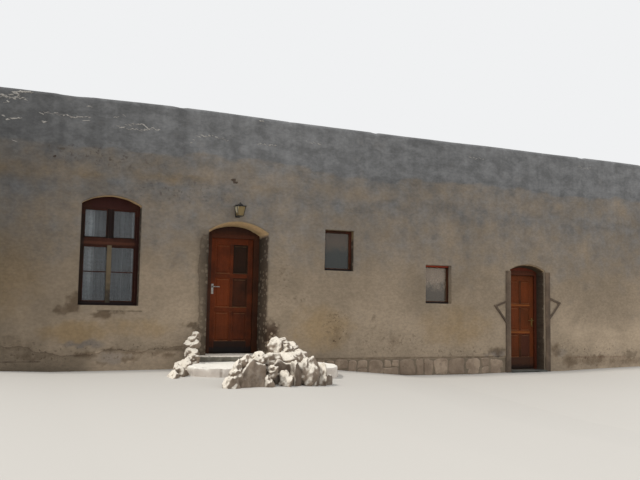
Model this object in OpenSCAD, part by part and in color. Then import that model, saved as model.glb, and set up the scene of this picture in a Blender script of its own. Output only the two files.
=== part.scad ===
// Single-storey adobe house with a flat earth roof behind a parapet.
// X runs along the front wall to the right, Y runs from the front to the rear, Z is up.
// The origin is the middle of the wall footprint, at the lowest point of the ground.

/* [House] */
// Length of the house over its end walls
house_l = 14400; // [13600:50:17000]
// Depth of the house from front face to rear face
house_d = 5200; // [4200:50:7000]
// Thickness of the adobe walls
wall_t = 600; // [520:10:750]
// Height of the walls up to the roof beams
wall_top = 3500; // [3250:10:4200]
// Height of the parapet above the wall top
parapet_h = 920; // [500:10:1200]
// Thickness of the parapet
parapet_t = 380; // [250:10:460]
// Radius of the worn top edges of the parapet
parapet_round = 60; // [20:5:110]

/* [Plinth and floors] */
// Height of the rubble stone plinth
plinth_h = 315; // [200:5:400]
// Distance that the plaster stands in front of the plinth
plinth_set = 15; // [5:1:40]
// Height of the floor behind door 1
floor_1 = 410; // [400:5:600]
// Height of the floor behind door 2
floor_2 = 60; // [30:5:120]
// Place of the step between the two floors
floor_step_x = 500; // [0:10:1200]

/* [Door 1] */
// Middle of door 1
door_1_x = -2340; // [-2600:10:-2200]
// Width of the opening of door 1 where the frame stands
door_1_w = 950; // [850:10:1100]
// Depth from the wall face to the frame of door 1
door_1_recess = 350; // [200:5:380]
// Height of the arch crown of door 1 above its floor, at the frame
door_1_crown = 2160; // [2120:5:2300]
// Rise of the arch of door 1 over its width
door_1_rise = 147; // [90:1:260]
// Width of the frame posts of door 1 that shows
door_1_post = 100; // [50:1:120]
// Height from the top of the leaf of door 1 to the springing of its arch
door_1_over = 53; // [50:1:120]
// Height of the bottom rail of door 1
door_1_bottom_rail = 195; // [120:5:260]

/* [Door 2] */
// Middle of door 2
door_2_x = 3630; // [3500:10:3900]
// Width of the opening of door 2 where the frame stands
door_2_w = 752; // [700:2:900]
// Depth from the wall face to the frame of door 2
door_2_recess = 200; // [120:5:300]
// Height of the arch crown of door 2 above its floor, at the frame
door_2_crown = 2020; // [2010:5:2200]
// Rise of the arch of door 2 over its width
door_2_rise = 90; // [70:1:200]
// Width of the frame posts of door 2 that shows
door_2_post = 50; // [40:1:80]
// Height from the top of the leaf of door 2 to the springing of its arch
door_2_over = 60; // [50:1:120]
// Height of the bottom rail of door 2
door_2_bottom_rail = 225; // [120:5:260]

/* [Joinery] */
// Distance that the doorways widen from the frame out to the wall face
flare = 50; // [20:5:90]
// Depth of the door frames
frame_d = 90; // [84:1:120]
// Thickness of the door leaves
leaf_t = 44; // [38:1:50]
// Distance that the frame laps over the edge of the leaf
lap = 9; // [6:1:14]
// Gap round a door leaf
door_gap = 5; // [5:0.5:8]
// Gap under a door leaf
floor_gap = 10; // [6:1:20]
// Width of the stiles of the leaves
stile = 100; // [80:1:120]
// Height of the top rail of the leaves
top_rail = 115; // [90:1:140]
// Height of the two middle rails of the leaves
mid_rail = 75; // [60:1:100]
// Width of the upright between the panels
muntin = 50; // [40:1:80]
// Depth of the panels below the face of the rails
panel_sink = 12; // [6:1:14]
// Height of the raised field on a panel
field_up = 7; // [3:1:9]
// Plain margin round the raised field
field_edge = 22; // [14:1:30]

/* [Ironwork] */
// Height of the lever of door 1 above its floor
lever_1_h = 1120; // [950:5:1200]
// Height of the lever of door 2 above its floor
lever_2_h = 965; // [900:5:1200]
// Length of the lever grip
lever_l = 110; // [90:1:130]
// Radius of the lever grip
lever_r = 8; // [6:0.5:10]
// Distance of the grip from the lock plate
lever_off = 42; // [35:1:55]
// Height of the lock plate
lock_plate_h = 170; // [150:1:240]
// Width of the lock plate
lock_plate_w = 38; // [32:1:44]
// Thickness of the lock plates and hinge plates
plate_t = 3; // [2:0.5:4]
// Radius of the hinge knuckles
knuckle_r = 8; // [7:0.5:10]
// Radius of the hinge pins
pin_r = 4.5; // [3.5:0.5:5]
// Length of one hinge knuckle
knuckle_l = 40; // [30:1:50]

/* [Window 1] */
// Middle of window 1
window_1_x = -4426; // [-4600:2:-4300]
// Width of window 1
window_1_w = 915; // [800:5:1000]
// Height of the sill of window 1
window_1_sill = 1185; // [1050:5:1300]
// Height of window 1 from the sill to the arch crown
window_1_h = 1715; // [1500:5:1760]
// Rise of the arch of window 1
window_1_rise = 135; // [90:1:200]
// Depth from the wall face to the frame of window 1
window_1_recess = 150; // [100:5:200]
// Height of the transom above the sill, at its middle
transom_up = 990; // [900:5:1050]
// Height of the transom bar
transom_h = 95; // [70:1:110]
// Height of the upper lights with their sashes
upper_light_h = 485; // [430:1:500]

/* [Small windows] */
// Width of a small window
small_w = 560; // [480:5:640]
// Height of a small window
small_h = 715; // [600:5:780]
// Places of the middle of the small windows in the front wall, and of their sills
front_small = [[-495, 1860], [1562, 1320]];
// Places of the middle of the small windows in the rear wall, and of their sills
rear_small = [[-4200, 1860], [2600, 1450]];
// Depth from the wall face to the frames of the small windows
small_recess = 100; // [60:5:140]

/* [Surround of door 2] */
// Width of the raised bands beside door 2
band_w = 112; // [80:2:140]
// Distance that the bands stand in front of the plaster
band_out = 22; // [12:1:30]
// Width of the slanted ribs
rib_w = 42; // [30:1:50]
// Distance that the points of the ribs stand out from the bands
rib_reach = 245; // [180:5:300]
// Height of the points of the ribs
rib_z = 1300; // [1200:5:1400]
// Height that the ribs right of the door stand above those left of it
rib_right_up = 80; // [0:5:120]
// Height from the point up to the end of the upper rib
rib_up = 95; // [60:5:150]
// Height from the point down to the end of the lower rib
rib_down = 320; // [250:5:380]

/* [Lantern] */
// Distance of the lantern to the left of the middle of door 1
lantern_shift = 50; // [-40:5:80]
// Height of the underside of the lantern body
lantern_z = 2690; // [2660:5:2800]
// Width of the lantern body at its top
lantern_top_w = 160; // [140:2:220]
// Width of the lantern body at its foot
lantern_foot_w = 98; // [80:2:140]
// Height of the glazed body of the lantern
lantern_h = 165; // [140:1:200]
// Distance of the middle of the lantern from the wall face
lantern_out = 140; // [130:2:180]

/* [Steps and stones] */
// Height of the top face of the lower step
lower_step_z = 315; // [300:5:400]
// Distance that the top step reaches out from the wall face
top_step_out = 250; // [180:10:520]
// Distance that the lower step reaches out from the wall face
lower_step_out = 1500; // [1200:10:1700]
// Width of the top step
top_step_w = 1480; // [1300:10:1560]
// Half of the width of the lower step
lower_step_half = 950; // [850:10:1050]
// Width of the flat slab at the right end of the lower step
foot_slab_w = 390; // [300:10:500]
// Unit of the places and sizes of the boulders
boulder_unit = 10; // [9:0.1:11]

/* [Roof] */
// Diameter of the roof beams
beam_d = 140; // [110:5:170]
// Distance between the middles of the roof beams
beam_pitch = 700; // [560:10:900]
// Thickness of the roof boards
board_t = 25; // [20:1:35]
// Thickness of the roof earth along the front
earth_front = 130; // [100:5:180]
// Thickness of the roof earth along the rear
earth_rear = 75; // [50:5:100]
// Number of rain spouts in the rear parapet
spout_n = 3; // [2:1:5]
// Width of a rain spout
spout_w = 150; // [110:5:200]
// Height of a rain spout
spout_h = 100; // [80:5:140]
// Distance that a rain spout reaches out from the rear face
spout_out = 320; // [200:10:420]
// Thickness of the boards of a rain spout
spout_t = 25; // [15:1:30]

/* [Hidden] */
$fn = 72;
// Facets of the wide arches
arch_fn = 288;
// Seat clearance between pieces that bear on each other
seat = 0.3;
// Gap between an arched frame and the masonry over it
arch_play = 1.5;
// Overshoot of cutting tools
over = 10;

front_y = -house_d / 2;
rear_y = house_d / 2;
left_x = -house_l / 2;
right_x = house_l / 2;
inner_front_y = front_y + wall_t;
inner_rear_y = rear_y - wall_t;
inner_left_x = left_x + wall_t;
inner_right_x = right_x - wall_t;
wall_low = plinth_h;

plaster_c = [0.62, 0.54, 0.44];
grey_c = [0.50, 0.48, 0.45];
stone_c = [0.60, 0.53, 0.45];
pale_c = [0.88, 0.85, 0.80];
door_c = [0.42, 0.18, 0.09];
dark_c = [0.24, 0.10, 0.06];
steel_c = [0.72, 0.72, 0.72];
iron_c = [0.10, 0.09, 0.09];
earth_c = [0.55, 0.47, 0.38];
timber_c = [0.48, 0.36, 0.24];

// A box between two corners
module span(x0, x1, y0, y1, z0, z1) {
    translate([x0, y0, z0]) cube([x1 - x0, y1 - y0, z1 - z0]);
}

// Radius of a segmental arch from its chord and rise
function arch_r(chord, rise) = (chord * chord / 4 + rise * rise) / (2 * rise);

// An upright prism with a segmental arch on top, running along Y from y0 to y1
module arch_prism(x, w, z0, crown, rise, y0, y1) {
    r = arch_r(w, rise);
    translate([x, y1, 0]) rotate([90, 0, 0]) linear_extrude(y1 - y0) {
        translate([-w / 2, z0]) square([w, crown - rise - z0 + 1]);
        intersection() {
            translate([0, crown - r]) circle(r, $fn = arch_fn);
            translate([-w / 2, crown - rise]) square([w, rise]);
        }
    }
}

// Walls: the doorways are cut through the front wall with flared sides
module small_cut(places, y0, y1) {
    for (p = places) span(p[0] - small_w / 2, p[0] + small_w / 2, y0, y1, p[1], p[1] + small_h);
}

door_1_left = door_1_x - door_1_w / 2;
door_1_right = door_1_x + door_1_w / 2;
door_2_left = door_2_x - door_2_w / 2;
door_2_right = door_2_x + door_2_w / 2;

module front_wall_left() {
    color(plaster_c) difference() {
        translate([0, 0, wall_low]) linear_extrude(wall_top - wall_low) polygon([
            [left_x, front_y], [door_1_left - flare, front_y], [door_1_left, front_y + door_1_recess],
            [door_1_left, inner_front_y], [left_x, inner_front_y]]);
        arch_prism(window_1_x, window_1_w, window_1_sill, window_1_sill + window_1_h, window_1_rise,
                   front_y - over, inner_front_y + over);
    }
}

module front_wall_middle() {
    color(plaster_c) difference() {
        translate([0, 0, wall_low]) linear_extrude(wall_top - wall_low) polygon([
            [door_1_right + flare, front_y], [door_2_left - flare, front_y],
            [door_2_left, front_y + door_2_recess], [door_2_left, inner_front_y],
            [door_1_right, inner_front_y], [door_1_right, front_y + door_1_recess]]);
        small_cut(front_small, front_y - over, inner_front_y + over);
    }
}

module front_wall_right() {
    color(plaster_c) translate([0, 0, wall_low]) linear_extrude(wall_top - wall_low) polygon([
        [door_2_right + flare, front_y], [right_x, front_y], [right_x, inner_front_y],
        [door_2_right, inner_front_y], [door_2_right, front_y + door_2_recess]]);
}

// The wall over a doorway: its soffit is a cone in front of the frame and a cylinder behind it
module door_head(x, w, recess, crown, rise) {
    r = arch_r(w, rise);
    difference() {
        translate([x, 0, crown - rise - flare]) linear_extrude(wall_top - crown + rise + flare) polygon([
            [-w / 2 - flare, front_y], [w / 2 + flare, front_y], [w / 2, front_y + recess],
            [w / 2, inner_front_y], [-w / 2, inner_front_y], [-w / 2, front_y + recess]]);
        translate([x, front_y + recess, crown - r]) rotate([90, 0, 0])
            cylinder(h = recess, r1 = r, r2 = r + flare, $fn = arch_fn);
        translate([x, inner_front_y + over, crown - r]) rotate([90, 0, 0])
            cylinder(h = wall_t - recess + over, r = r, $fn = arch_fn);
    }
}

module door_1_head() {
    color(plaster_c) door_head(door_1_x, door_1_w, door_1_recess, floor_1 + door_1_crown, door_1_rise);
}

module door_2_head() {
    color(plaster_c) door_head(door_2_x, door_2_w, door_2_recess, floor_2 + door_2_crown, door_2_rise);
}

module left_wall() {
    color(plaster_c) span(left_x, inner_left_x, inner_front_y, inner_rear_y, wall_low, wall_top);
}

module right_wall() {
    color(plaster_c) span(inner_right_x, right_x, inner_front_y, inner_rear_y, wall_low, wall_top);
}

module rear_wall() {
    color(plaster_c) difference() {
        span(left_x, right_x, inner_rear_y, rear_y, wall_low, wall_top);
        small_cut(rear_small, inner_rear_y - over, rear_y + over);
    }
}

// Plinth of rubble stone under the walls
module plinth_front() {
    color(stone_c) {
        linear_extrude(plinth_h) polygon([
            [left_x + plinth_set, front_y + plinth_set], [door_2_left - flare, front_y + plinth_set],
            [door_2_left, front_y + door_2_recess], [door_2_left, inner_front_y],
            [left_x + plinth_set, inner_front_y]]);
        linear_extrude(plinth_h) polygon([
            [door_2_right + flare, front_y + plinth_set], [right_x - plinth_set, front_y + plinth_set],
            [right_x - plinth_set, inner_front_y], [door_2_right, inner_front_y],
            [door_2_right, front_y + door_2_recess]]);
    }
}

module plinth_rear() {
    color(stone_c) span(left_x + plinth_set, right_x - plinth_set, inner_rear_y, rear_y - plinth_set, 0, plinth_h);
}

module plinth_sides() {
    color(stone_c) {
        span(left_x + plinth_set, inner_left_x, inner_front_y, inner_rear_y, 0, plinth_h);
        span(inner_right_x, right_x - plinth_set, inner_front_y, inner_rear_y, 0, plinth_h);
    }
}

// Section of the parapet, with worn round top edges, standing on Z = 0 from 0 to its thickness
module parapet_section() {
    square([parapet_t, parapet_h - parapet_round]);
    translate([parapet_round, 0]) square([parapet_t - 2 * parapet_round, parapet_h]);
    translate([parapet_round, parapet_h - parapet_round]) circle(parapet_round);
    translate([parapet_t - parapet_round, parapet_h - parapet_round]) circle(parapet_round);
}

// A length of parapet along X from x0, with its outer face at y
module parapet_run(x0, length, y) {
    translate([x0, y, wall_top]) rotate([90, 0, 90]) linear_extrude(length) parapet_section();
}

module front_parapet() {
    color(grey_c) parapet_run(left_x, house_l, front_y);
}

deck_z = wall_top + seat + beam_d + seat;
roof_z = deck_z + board_t;
// The channel of a spout starts level with the earth beside it
spout_z = roof_z + earth_rear - spout_t;
function spout_x(i) = left_x + house_l * (i + 0.5) / spout_n;

module rear_parapet() {
    color(grey_c) difference() {
        parapet_run(left_x, house_l, rear_y - parapet_t);
        for (i = [0 : spout_n - 1])
            span(spout_x(i) - spout_w / 2 - seat, spout_x(i) + spout_w / 2 + seat, rear_y - parapet_t - over,
                 rear_y + over, spout_z, spout_z + spout_h + seat);
    }
}

module side_parapets() {
    run = house_d - 2 * parapet_t;
    color(grey_c) {
        translate([left_x, run / 2, wall_top]) rotate([90, 0, 0]) linear_extrude(run) parapet_section();
        translate([right_x - parapet_t, run / 2, wall_top]) rotate([90, 0, 0]) linear_extrude(run) parapet_section();
    }
}

// Floors of packed earth on two levels
module upper_floor() {
    color(earth_c) {
        span(inner_left_x, floor_step_x, inner_front_y, inner_rear_y, 0, floor_1);
        span(door_1_left, door_1_right, front_y + door_1_recess, inner_front_y, plinth_h, floor_1);
    }
}

module lower_floor() {
    color(earth_c) {
        span(floor_step_x, inner_right_x, inner_front_y, inner_rear_y, 0, floor_2);
        span(door_2_left, door_2_right, front_y + door_2_recess, inner_front_y, 0, floor_2);
    }
}

// Height of the frame head over the leaf, and rim and depth of the arched board above it
frame_head = 56;
board_rim = 16;
board_sink = 14;

// Door frame with rebated posts and head, and an arched board over the head
module door_frame(x, w, recess, floor_z, leaf_h, crown, rise, post) {
    y0 = front_y + recess;
    y1 = y0 + frame_d;
    show_w = w - 2 * post;
    show_h = floor_gap + leaf_h - lap;
    rebate_w = show_w + 2 * lap + 2 * door_gap;
    rebate_h = floor_gap + leaf_h + door_gap;
    stop_y = y1 - leaf_t - door_gap;
    difference() {
        arch_prism(x, w - 2 * seat, floor_z, floor_z + crown - arch_play, rise, y0, y1);
        span(x - show_w / 2, x + show_w / 2, y0 - over, y1 + over, floor_z - over, floor_z + show_h);
        span(x - rebate_w / 2, x + rebate_w / 2, stop_y, y1 + over, floor_z - over, floor_z + rebate_h);
        // The arched board sits behind the face of its rim
        intersection() {
            arch_prism(x, w - 2 * board_rim, floor_z, floor_z + crown - board_rim, rise, y0 - over, y0 + board_sink);
            span(x - w, x + w, y0 - over, y0 + board_sink, floor_z + show_h + frame_head, floor_z + crown);
        }
    }
}

module door_1_frame() {
    color(dark_c) door_frame(door_1_x, door_1_w, door_1_recess, floor_1, door_1_leaf_h,
                             door_1_crown, door_1_rise, door_1_post);
}

module door_2_frame() {
    color(dark_c) door_frame(door_2_x, door_2_w, door_2_recess, floor_2, door_2_leaf_h,
                             door_2_crown, door_2_rise, door_2_post);
}

// A raised field with sloping sides: two crossed prisms, standing on Z = 0
module raised_field(w, h, up, slope) {
    intersection() {
        translate([0, h / 2, 0]) rotate([90, 0, 0]) linear_extrude(h)
            polygon([[-w / 2, 0], [w / 2, 0], [w / 2 - slope, up], [slope - w / 2, up]]);
        translate([-w / 2, 0, 0]) rotate([90, 0, 90]) linear_extrude(w)
            polygon([[-h / 2, 0], [h / 2, 0], [h / 2 - slope, up], [slope - h / 2, up]]);
    }
}

// Width of the sloping sides of a raised field, as a share of its plain margin
field_slope = 0.6;

// A six-panel leaf from x = 0 to w, from y = 0 (outer face) to its thickness, standing on Z = 0
module panel_leaf(w, h, bottom_rail, bore_x, bore_z) {
    panel_w = (w - 2 * stile - muntin) / 2;
    panel_h = (h - bottom_rail - top_rail - 2 * mid_rail) / 3;
    slope = field_edge * field_slope;
    difference() {
        cube([w, leaf_t, h]);
        for (i = [0 : 1], k = [0 : 2]) {
            px = stile + i * (panel_w + muntin);
            pz = bottom_rail + k * (panel_h + mid_rail);
            span(px, px + panel_w, -over, panel_sink, pz, pz + panel_h);
            span(px, px + panel_w, leaf_t - panel_sink, leaf_t + over, pz, pz + panel_h);
        }
        translate([bore_x, -over, bore_z]) rotate([-90, 0, 0]) cylinder(h = leaf_t + 2 * over, r = spindle_bore);
    }
    for (i = [0 : 1], k = [0 : 2]) {
        cx = stile + panel_w / 2 + i * (panel_w + muntin);
        cz = bottom_rail + panel_h / 2 + k * (panel_h + mid_rail);
        translate([cx, panel_sink, cz]) rotate([90, 0, 0])
            raised_field(panel_w - 2 * field_edge, panel_h - 2 * field_edge, field_up, slope);
        translate([cx, leaf_t - panel_sink, cz]) rotate([-90, 0, 0])
            raised_field(panel_w - 2 * field_edge, panel_h - 2 * field_edge, field_up, slope);
    }
}

door_1_leaf_h = door_1_crown - door_1_rise - door_1_over - floor_gap;
door_2_leaf_h = door_2_crown - door_2_rise - door_2_over - floor_gap;
spindle_r = 5;
// Radius of the hole for the spindle in a leaf
spindle_bore = 8;
// Radius of the lever necks and of the hole for them in a lock plate
neck_r = 9.5;
neck_bore = 10.5;
// Share of the lock plate that lies below the lever
lock_low = 0.72;
// Distance of the lever spindle from the free edge of the leaf
lever_edge = 50;

leaf_1_w = door_1_w - 2 * door_1_post + 2 * lap;
leaf_2_w = door_2_w - 2 * door_2_post + 2 * lap;
leaf_1_y = front_y + door_1_recess + frame_d - leaf_t;
leaf_2_y = front_y + door_2_recess + frame_d - leaf_t;
leaf_1_z = floor_1 + floor_gap;
leaf_2_z = floor_2 + floor_gap;
lever_1_x = door_1_x - leaf_1_w / 2 + lever_edge;
lever_2_x = door_2_x + leaf_2_w / 2 - lever_edge;
lever_1_z = floor_1 + lever_1_h;
lever_2_z = floor_2 + lever_2_h;

module door_1_leaf() {
    color(door_c) translate([door_1_x - leaf_1_w / 2, leaf_1_y, leaf_1_z])
        panel_leaf(leaf_1_w, door_1_leaf_h, door_1_bottom_rail, lever_edge, lever_1_z - leaf_1_z);
}

module door_2_leaf() {
    color(door_c) translate([door_2_x - leaf_2_w / 2, leaf_2_y, leaf_2_z])
        panel_leaf(leaf_2_w, door_2_leaf_h, door_2_bottom_rail, leaf_2_w - lever_edge, lever_2_z - leaf_2_z);
}

// Hinges: the axis stands behind the gap between leaf and frame
hinge_1_x = door_1_x + leaf_1_w / 2 + door_gap / 2;
hinge_2_x = door_2_x - leaf_2_w / 2 - door_gap / 2;
hinge_1_y = leaf_1_y + leaf_t + knuckle_r;
hinge_2_y = leaf_2_y + leaf_t + knuckle_r;
hinge_plate_w = 28;
// Radial play of a hinge pin, and how far it stops below the top of its knuckle
pin_play = 0.08;
pin_short = 4;
function hinge_heights(h) = [0.12 * h, 0.5 * h, 0.88 * h];

// One side of a hinge: a knuckle and its plate, which lies towards side * X on the face of the wood
module hinge_half(side) {
    reach = hinge_plate_w + knuckle_r;
    cylinder(h = knuckle_l, r = knuckle_r);
    translate([side > 0 ? 0 : -reach, -knuckle_r, 0]) cube([reach, plate_t, knuckle_l]);
}

// Leaf side: the upper knuckle, bored for the pin
module leaf_hinges(x, y, z0, h, side) {
    for (z = hinge_heights(h))
        translate([x, y, z0 + z + seat]) difference() {
            hinge_half(side);
            translate([0, 0, -over]) cylinder(h = knuckle_l + 2 * over, r = pin_r + pin_play);
        }
}

// Frame side: the lower knuckle with the pin standing on it
module post_hinges(x, y, z0, h, side) {
    for (z = hinge_heights(h))
        translate([x, y, z0 + z - knuckle_l]) {
            hinge_half(side);
            cylinder(h = 2 * knuckle_l - pin_short, r = pin_r);
        }
}

module frame_hinges() {
    color(iron_c) {
        post_hinges(hinge_1_x, hinge_1_y, leaf_1_z, door_1_leaf_h, 1);
        post_hinges(hinge_2_x, hinge_2_y, leaf_2_z, door_2_leaf_h, -1);
    }
}

// A lock plate on the outer face (dir -1) or the inner face (dir 1) of a leaf
module lock_plate(x, y, z, dir) {
    low = lock_plate_h * lock_low;
    y0 = dir < 0 ? y - plate_t : y;
    difference() {
        span(x - lock_plate_w / 2, x + lock_plate_w / 2, y0, y0 + plate_t, z - low, z + lock_plate_h - low);
        translate([x, y0 - over, z]) rotate([-90, 0, 0]) cylinder(h = plate_t + 2 * over, r = neck_bore);
    }
}

module door_1_ironwork() {
    color(steel_c) {
        leaf_hinges(hinge_1_x, hinge_1_y, leaf_1_z, door_1_leaf_h, -1);
        lock_plate(lever_1_x, leaf_1_y, lever_1_z, -1);
        lock_plate(lever_1_x, leaf_1_y + leaf_t, lever_1_z, 1);
    }
}

module door_2_ironwork() {
    color(steel_c) {
        leaf_hinges(hinge_2_x, hinge_2_y, leaf_2_z, door_2_leaf_h, 1);
        lock_plate(lever_2_x, leaf_2_y, lever_2_z, -1);
        lock_plate(lever_2_x, leaf_2_y + leaf_t, lever_2_z, 1);
    }
}

// A lever on both faces with its spindle, pointing to side * X
module lever(x, y, z, side) {
    neck_l = lever_off + plate_t;
    translate([x, y, z]) {
        translate([0, -neck_l, 0]) rotate([-90, 0, 0]) cylinder(h = neck_l - seat, r = neck_r);
        translate([0, -neck_l, 0]) rotate([-90, 0, 0]) cylinder(h = leaf_t + 2 * neck_l, r = spindle_r);
        translate([0, leaf_t + seat, 0]) rotate([-90, 0, 0]) cylinder(h = neck_l - seat, r = neck_r);
        for (gy = [-neck_l, leaf_t + neck_l])
            translate([0, gy, 0]) {
                sphere(neck_r);
                rotate([0, 90 * side, 0]) cylinder(h = lever_l, r = lever_r);
                translate([side * lever_l, 0, 0]) sphere(lever_r);
            }
    }
}

module door_1_lever() {
    color(steel_c) lever(lever_1_x, leaf_1_y, lever_1_z, 1);
}

module door_2_lever() {
    color(steel_c) lever(lever_2_x, leaf_2_y, lever_2_z, -1);
}

// Length of the ribs that runs into a band
rib_root = 20;

// Two slanted ribs that meet in a point, as a flat outline: x runs out from the band, y up from the point
module rib_pair() {
    run = rib_reach + rib_root;
    rise = rib_up + rib_down;
    half_up = rib_w / 2 / cos(atan(rib_up / run));
    half_down = rib_w / 2 / cos(atan(rib_down / run));
    tip_out = run * (rise + half_up + half_down) / rise;
    tip_in = run * (rise - half_up - half_down) / rise;
    translate([-rib_root, 0]) polygon([
        [0, rib_up + half_up], [tip_out, rib_up + half_up - tip_out * rib_up / run], [0, -rib_down - half_down],
        [0, half_down - rib_down], [tip_in, rib_up - half_up - tip_in * rib_up / run], [0, rib_up - half_up]]);
}

// One raised band with its pair of ribs, on the side given by dir
module band(dir) {
    inner = door_2_x + dir * (door_2_w / 2 + flare);
    outer = inner + dir * band_w;
    top = floor_2 + door_2_crown - door_2_rise;
    translate([0, front_y, 0]) rotate([90, 0, 0]) linear_extrude(band_out) {
        translate([min(inner, outer), 0]) square([band_w, top]);
        if (dir > 0) translate([outer, rib_z + rib_right_up]) rib_pair();
        if (dir < 0) translate([outer, rib_z]) mirror([1, 0]) rib_pair();
    }
    span(min(inner, outer), max(inner, outer), front_y, front_y + plinth_set, 0, plinth_h);
}

module door_2_surround() {
    color(grey_c) {
        band(-1);
        band(1);
    }
}

// Distance that the sill of door 2 stands out from the wall face
sill_out = 60;

module door_2_sill() {
    color(stone_c) linear_extrude(floor_2) polygon([
        [door_2_left - flare, front_y - sill_out], [door_2_right + flare, front_y - sill_out],
        [door_2_right + flare, front_y + plinth_set], [door_2_right, front_y + door_2_recess],
        [door_2_left, front_y + door_2_recess], [door_2_left - flare, front_y + plinth_set]]);
}

// Window 1: fixed frame with a transom, an upper mullion and an arched board over the lights
window_post = 42;
sash = 34;
mullion = 48;
window_frame_d = 70;
sash_t = 40;
// Distance of the sashes behind the face of the frame
sash_set = 12;
// Width of the glazing bars, and their height as a share of the lower sashes
bar_w = 16;
bar_place = 0.535;
// Width of the strip over the meeting stiles
cover_w = 72;
glass_t = 4;
window_1_y = front_y + window_1_recess;
transom_z = window_1_sill + transom_up;
light_low = window_1_sill + window_post;
light_mid_low = transom_z - transom_h / 2;
light_mid_high = transom_z + transom_h / 2;
light_top = light_mid_high + upper_light_h;
light_w = (window_1_w - 2 * window_post - mullion) / 2;

module window_1_frame() {
    half = window_1_w / 2 - window_post;
    color(dark_c) difference() {
        arch_prism(window_1_x, window_1_w - 2 * seat, window_1_sill, window_1_sill + window_1_h - arch_play,
                   window_1_rise, window_1_y, window_1_y + window_frame_d);
        span(window_1_x - half, window_1_x + half, window_1_y - over, window_1_y + window_frame_d + over,
             light_low, light_mid_low);
        for (dir = [-1, 1])
            span(window_1_x + dir * (mullion / 2 + light_w / 2) - light_w / 2,
                 window_1_x + dir * (mullion / 2 + light_w / 2) + light_w / 2,
                 window_1_y - over, window_1_y + window_frame_d + over, light_mid_high, light_top);
    }
}

// One sash with its corner at x0, z0, with a glazing bar where bar is above 0
module sash_frame(x0, w, z0, h, bar) {
    y0 = window_1_y + sash_set;
    difference() {
        span(x0 + seat, x0 + w - seat, y0, y0 + sash_t, z0 + seat, z0 + h - seat);
        span(x0 + sash, x0 + w - sash, y0 - over, y0 + sash_t + over, z0 + sash, z0 + h - sash);
    }
    if (bar > 0)
        for (y = [y0, y0 + sash_t / 2 + glass_t / 2 + seat])
            span(x0 + sash, x0 + w - sash, y, y + sash_t / 2 - glass_t / 2 - seat, z0 + bar - bar_w / 2, z0 + bar + bar_w / 2);
}

lower_sash_w = window_1_w / 2 - window_post;
lower_sash_h = light_mid_low - light_low;
upper_x = [window_1_x - mullion / 2 - light_w, window_1_x + mullion / 2];
lower_x = [window_1_x - lower_sash_w, window_1_x];

module window_1_sashes() {
    color(dark_c) for (i = [0 : 1]) {
        sash_frame(upper_x[i], light_w, light_mid_high, upper_light_h, 0);
        sash_frame(lower_x[i], lower_sash_w, light_low, lower_sash_h, lower_sash_h * bar_place);
    }
}

module window_1_cover_strip() {
    color([0.72, 0.62, 0.46])
        span(window_1_x - cover_w / 2, window_1_x + cover_w / 2, window_1_y, window_1_y + sash_set - seat,
             light_low + seat, light_mid_low - seat);
}

module pane(x0, w, z0, h, y) {
    span(x0, x0 + w, y - glass_t / 2, y + glass_t / 2, z0, z0 + h);
}

module window_1_glass() {
    y = window_1_y + sash_set + sash_t / 2;
    color([0.75, 0.82, 0.85, 0.4]) for (i = [0 : 1]) {
        pane(upper_x[i] + sash + seat, light_w - 2 * sash - 2 * seat, light_mid_high + sash + seat,
             upper_light_h - 2 * sash - 2 * seat, y);
        pane(lower_x[i] + sash + seat, lower_sash_w - 2 * sash - 2 * seat, light_low + sash + seat,
             lower_sash_h - 2 * sash - 2 * seat, y);
    }
}

// Net curtains on a rod behind window 1
rod_r = 8;
// Distance of the rod behind the frame, and above the upper lights
rod_back = 45;
rod_up = 30;
rod_y = window_1_y + window_frame_d + rod_back;
rod_z = light_top + rod_up;
curtain_t = 30;
// Gaps beside, between and under the curtains
curtain_side = 20;
curtain_part = 6;
curtain_low = 12;

module curtain_rod() {
    color(iron_c) translate([window_1_x - window_1_w / 2 + seat, rod_y, rod_z]) rotate([0, 90, 0])
        cylinder(h = window_1_w - 2 * seat, r = rod_r);
}

module window_1_curtains() {
    half = window_1_w / 2 - curtain_side;
    color([0.92, 0.93, 0.92]) for (x = [window_1_x - half, window_1_x + curtain_part])
        span(x, x + half - curtain_part, rod_y - curtain_t / 2, rod_y + curtain_t / 2,
             window_1_sill + curtain_low, rod_z - rod_r - seat);
}

// Small windows: a plain frame with one light
small_frame = 45;
small_frame_d = 60;

module small_frame_at(x, z, y0) {
    difference() {
        span(x - small_w / 2, x + small_w / 2, y0, y0 + small_frame_d, z, z + small_h);
        span(x - small_w / 2 + small_frame, x + small_w / 2 - small_frame, y0 - over, y0 + small_frame_d + over,
             z + small_frame, z + small_h - small_frame);
    }
}

module small_pane_at(x, z, y0) {
    pane(x - small_w / 2 + small_frame + seat, small_w - 2 * small_frame - 2 * seat,
         z + small_frame + seat, small_h - 2 * small_frame - 2 * seat, y0 + small_frame_d / 2);
}

module small_window_frames() {
    color(dark_c) {
        for (p = front_small) small_frame_at(p[0], p[1], front_y + small_recess);
        for (p = rear_small) small_frame_at(p[0], p[1], rear_y - small_recess - small_frame_d);
    }
}

module small_window_glass() {
    color([0.35, 0.38, 0.38, 0.6]) {
        for (p = front_small) small_pane_at(p[0], p[1], front_y + small_recess);
        for (p = rear_small) small_pane_at(p[0], p[1], rear_y - small_recess - small_frame_d);
    }
}

// Wall lantern over door 1, four-sided and narrower at its foot
lantern_x = door_1_x - lantern_shift;
lantern_y = front_y - lantern_out;
cage_bar = 8;
cap_t = 6;
cap_h = 40;
// Distance that the cap reaches past the cage on each side
cap_brim = 9;
lantern_cap_half = lantern_top_w / 2 + cap_brim;
lantern_cap_z = lantern_z + lantern_h;
// Wall plate and arm of the bracket
bracket_w = 80;
bracket_t = 8;
bracket_low = 10;
bracket_high = 40;
arm_w = 14;
arm_h = 14;
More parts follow.
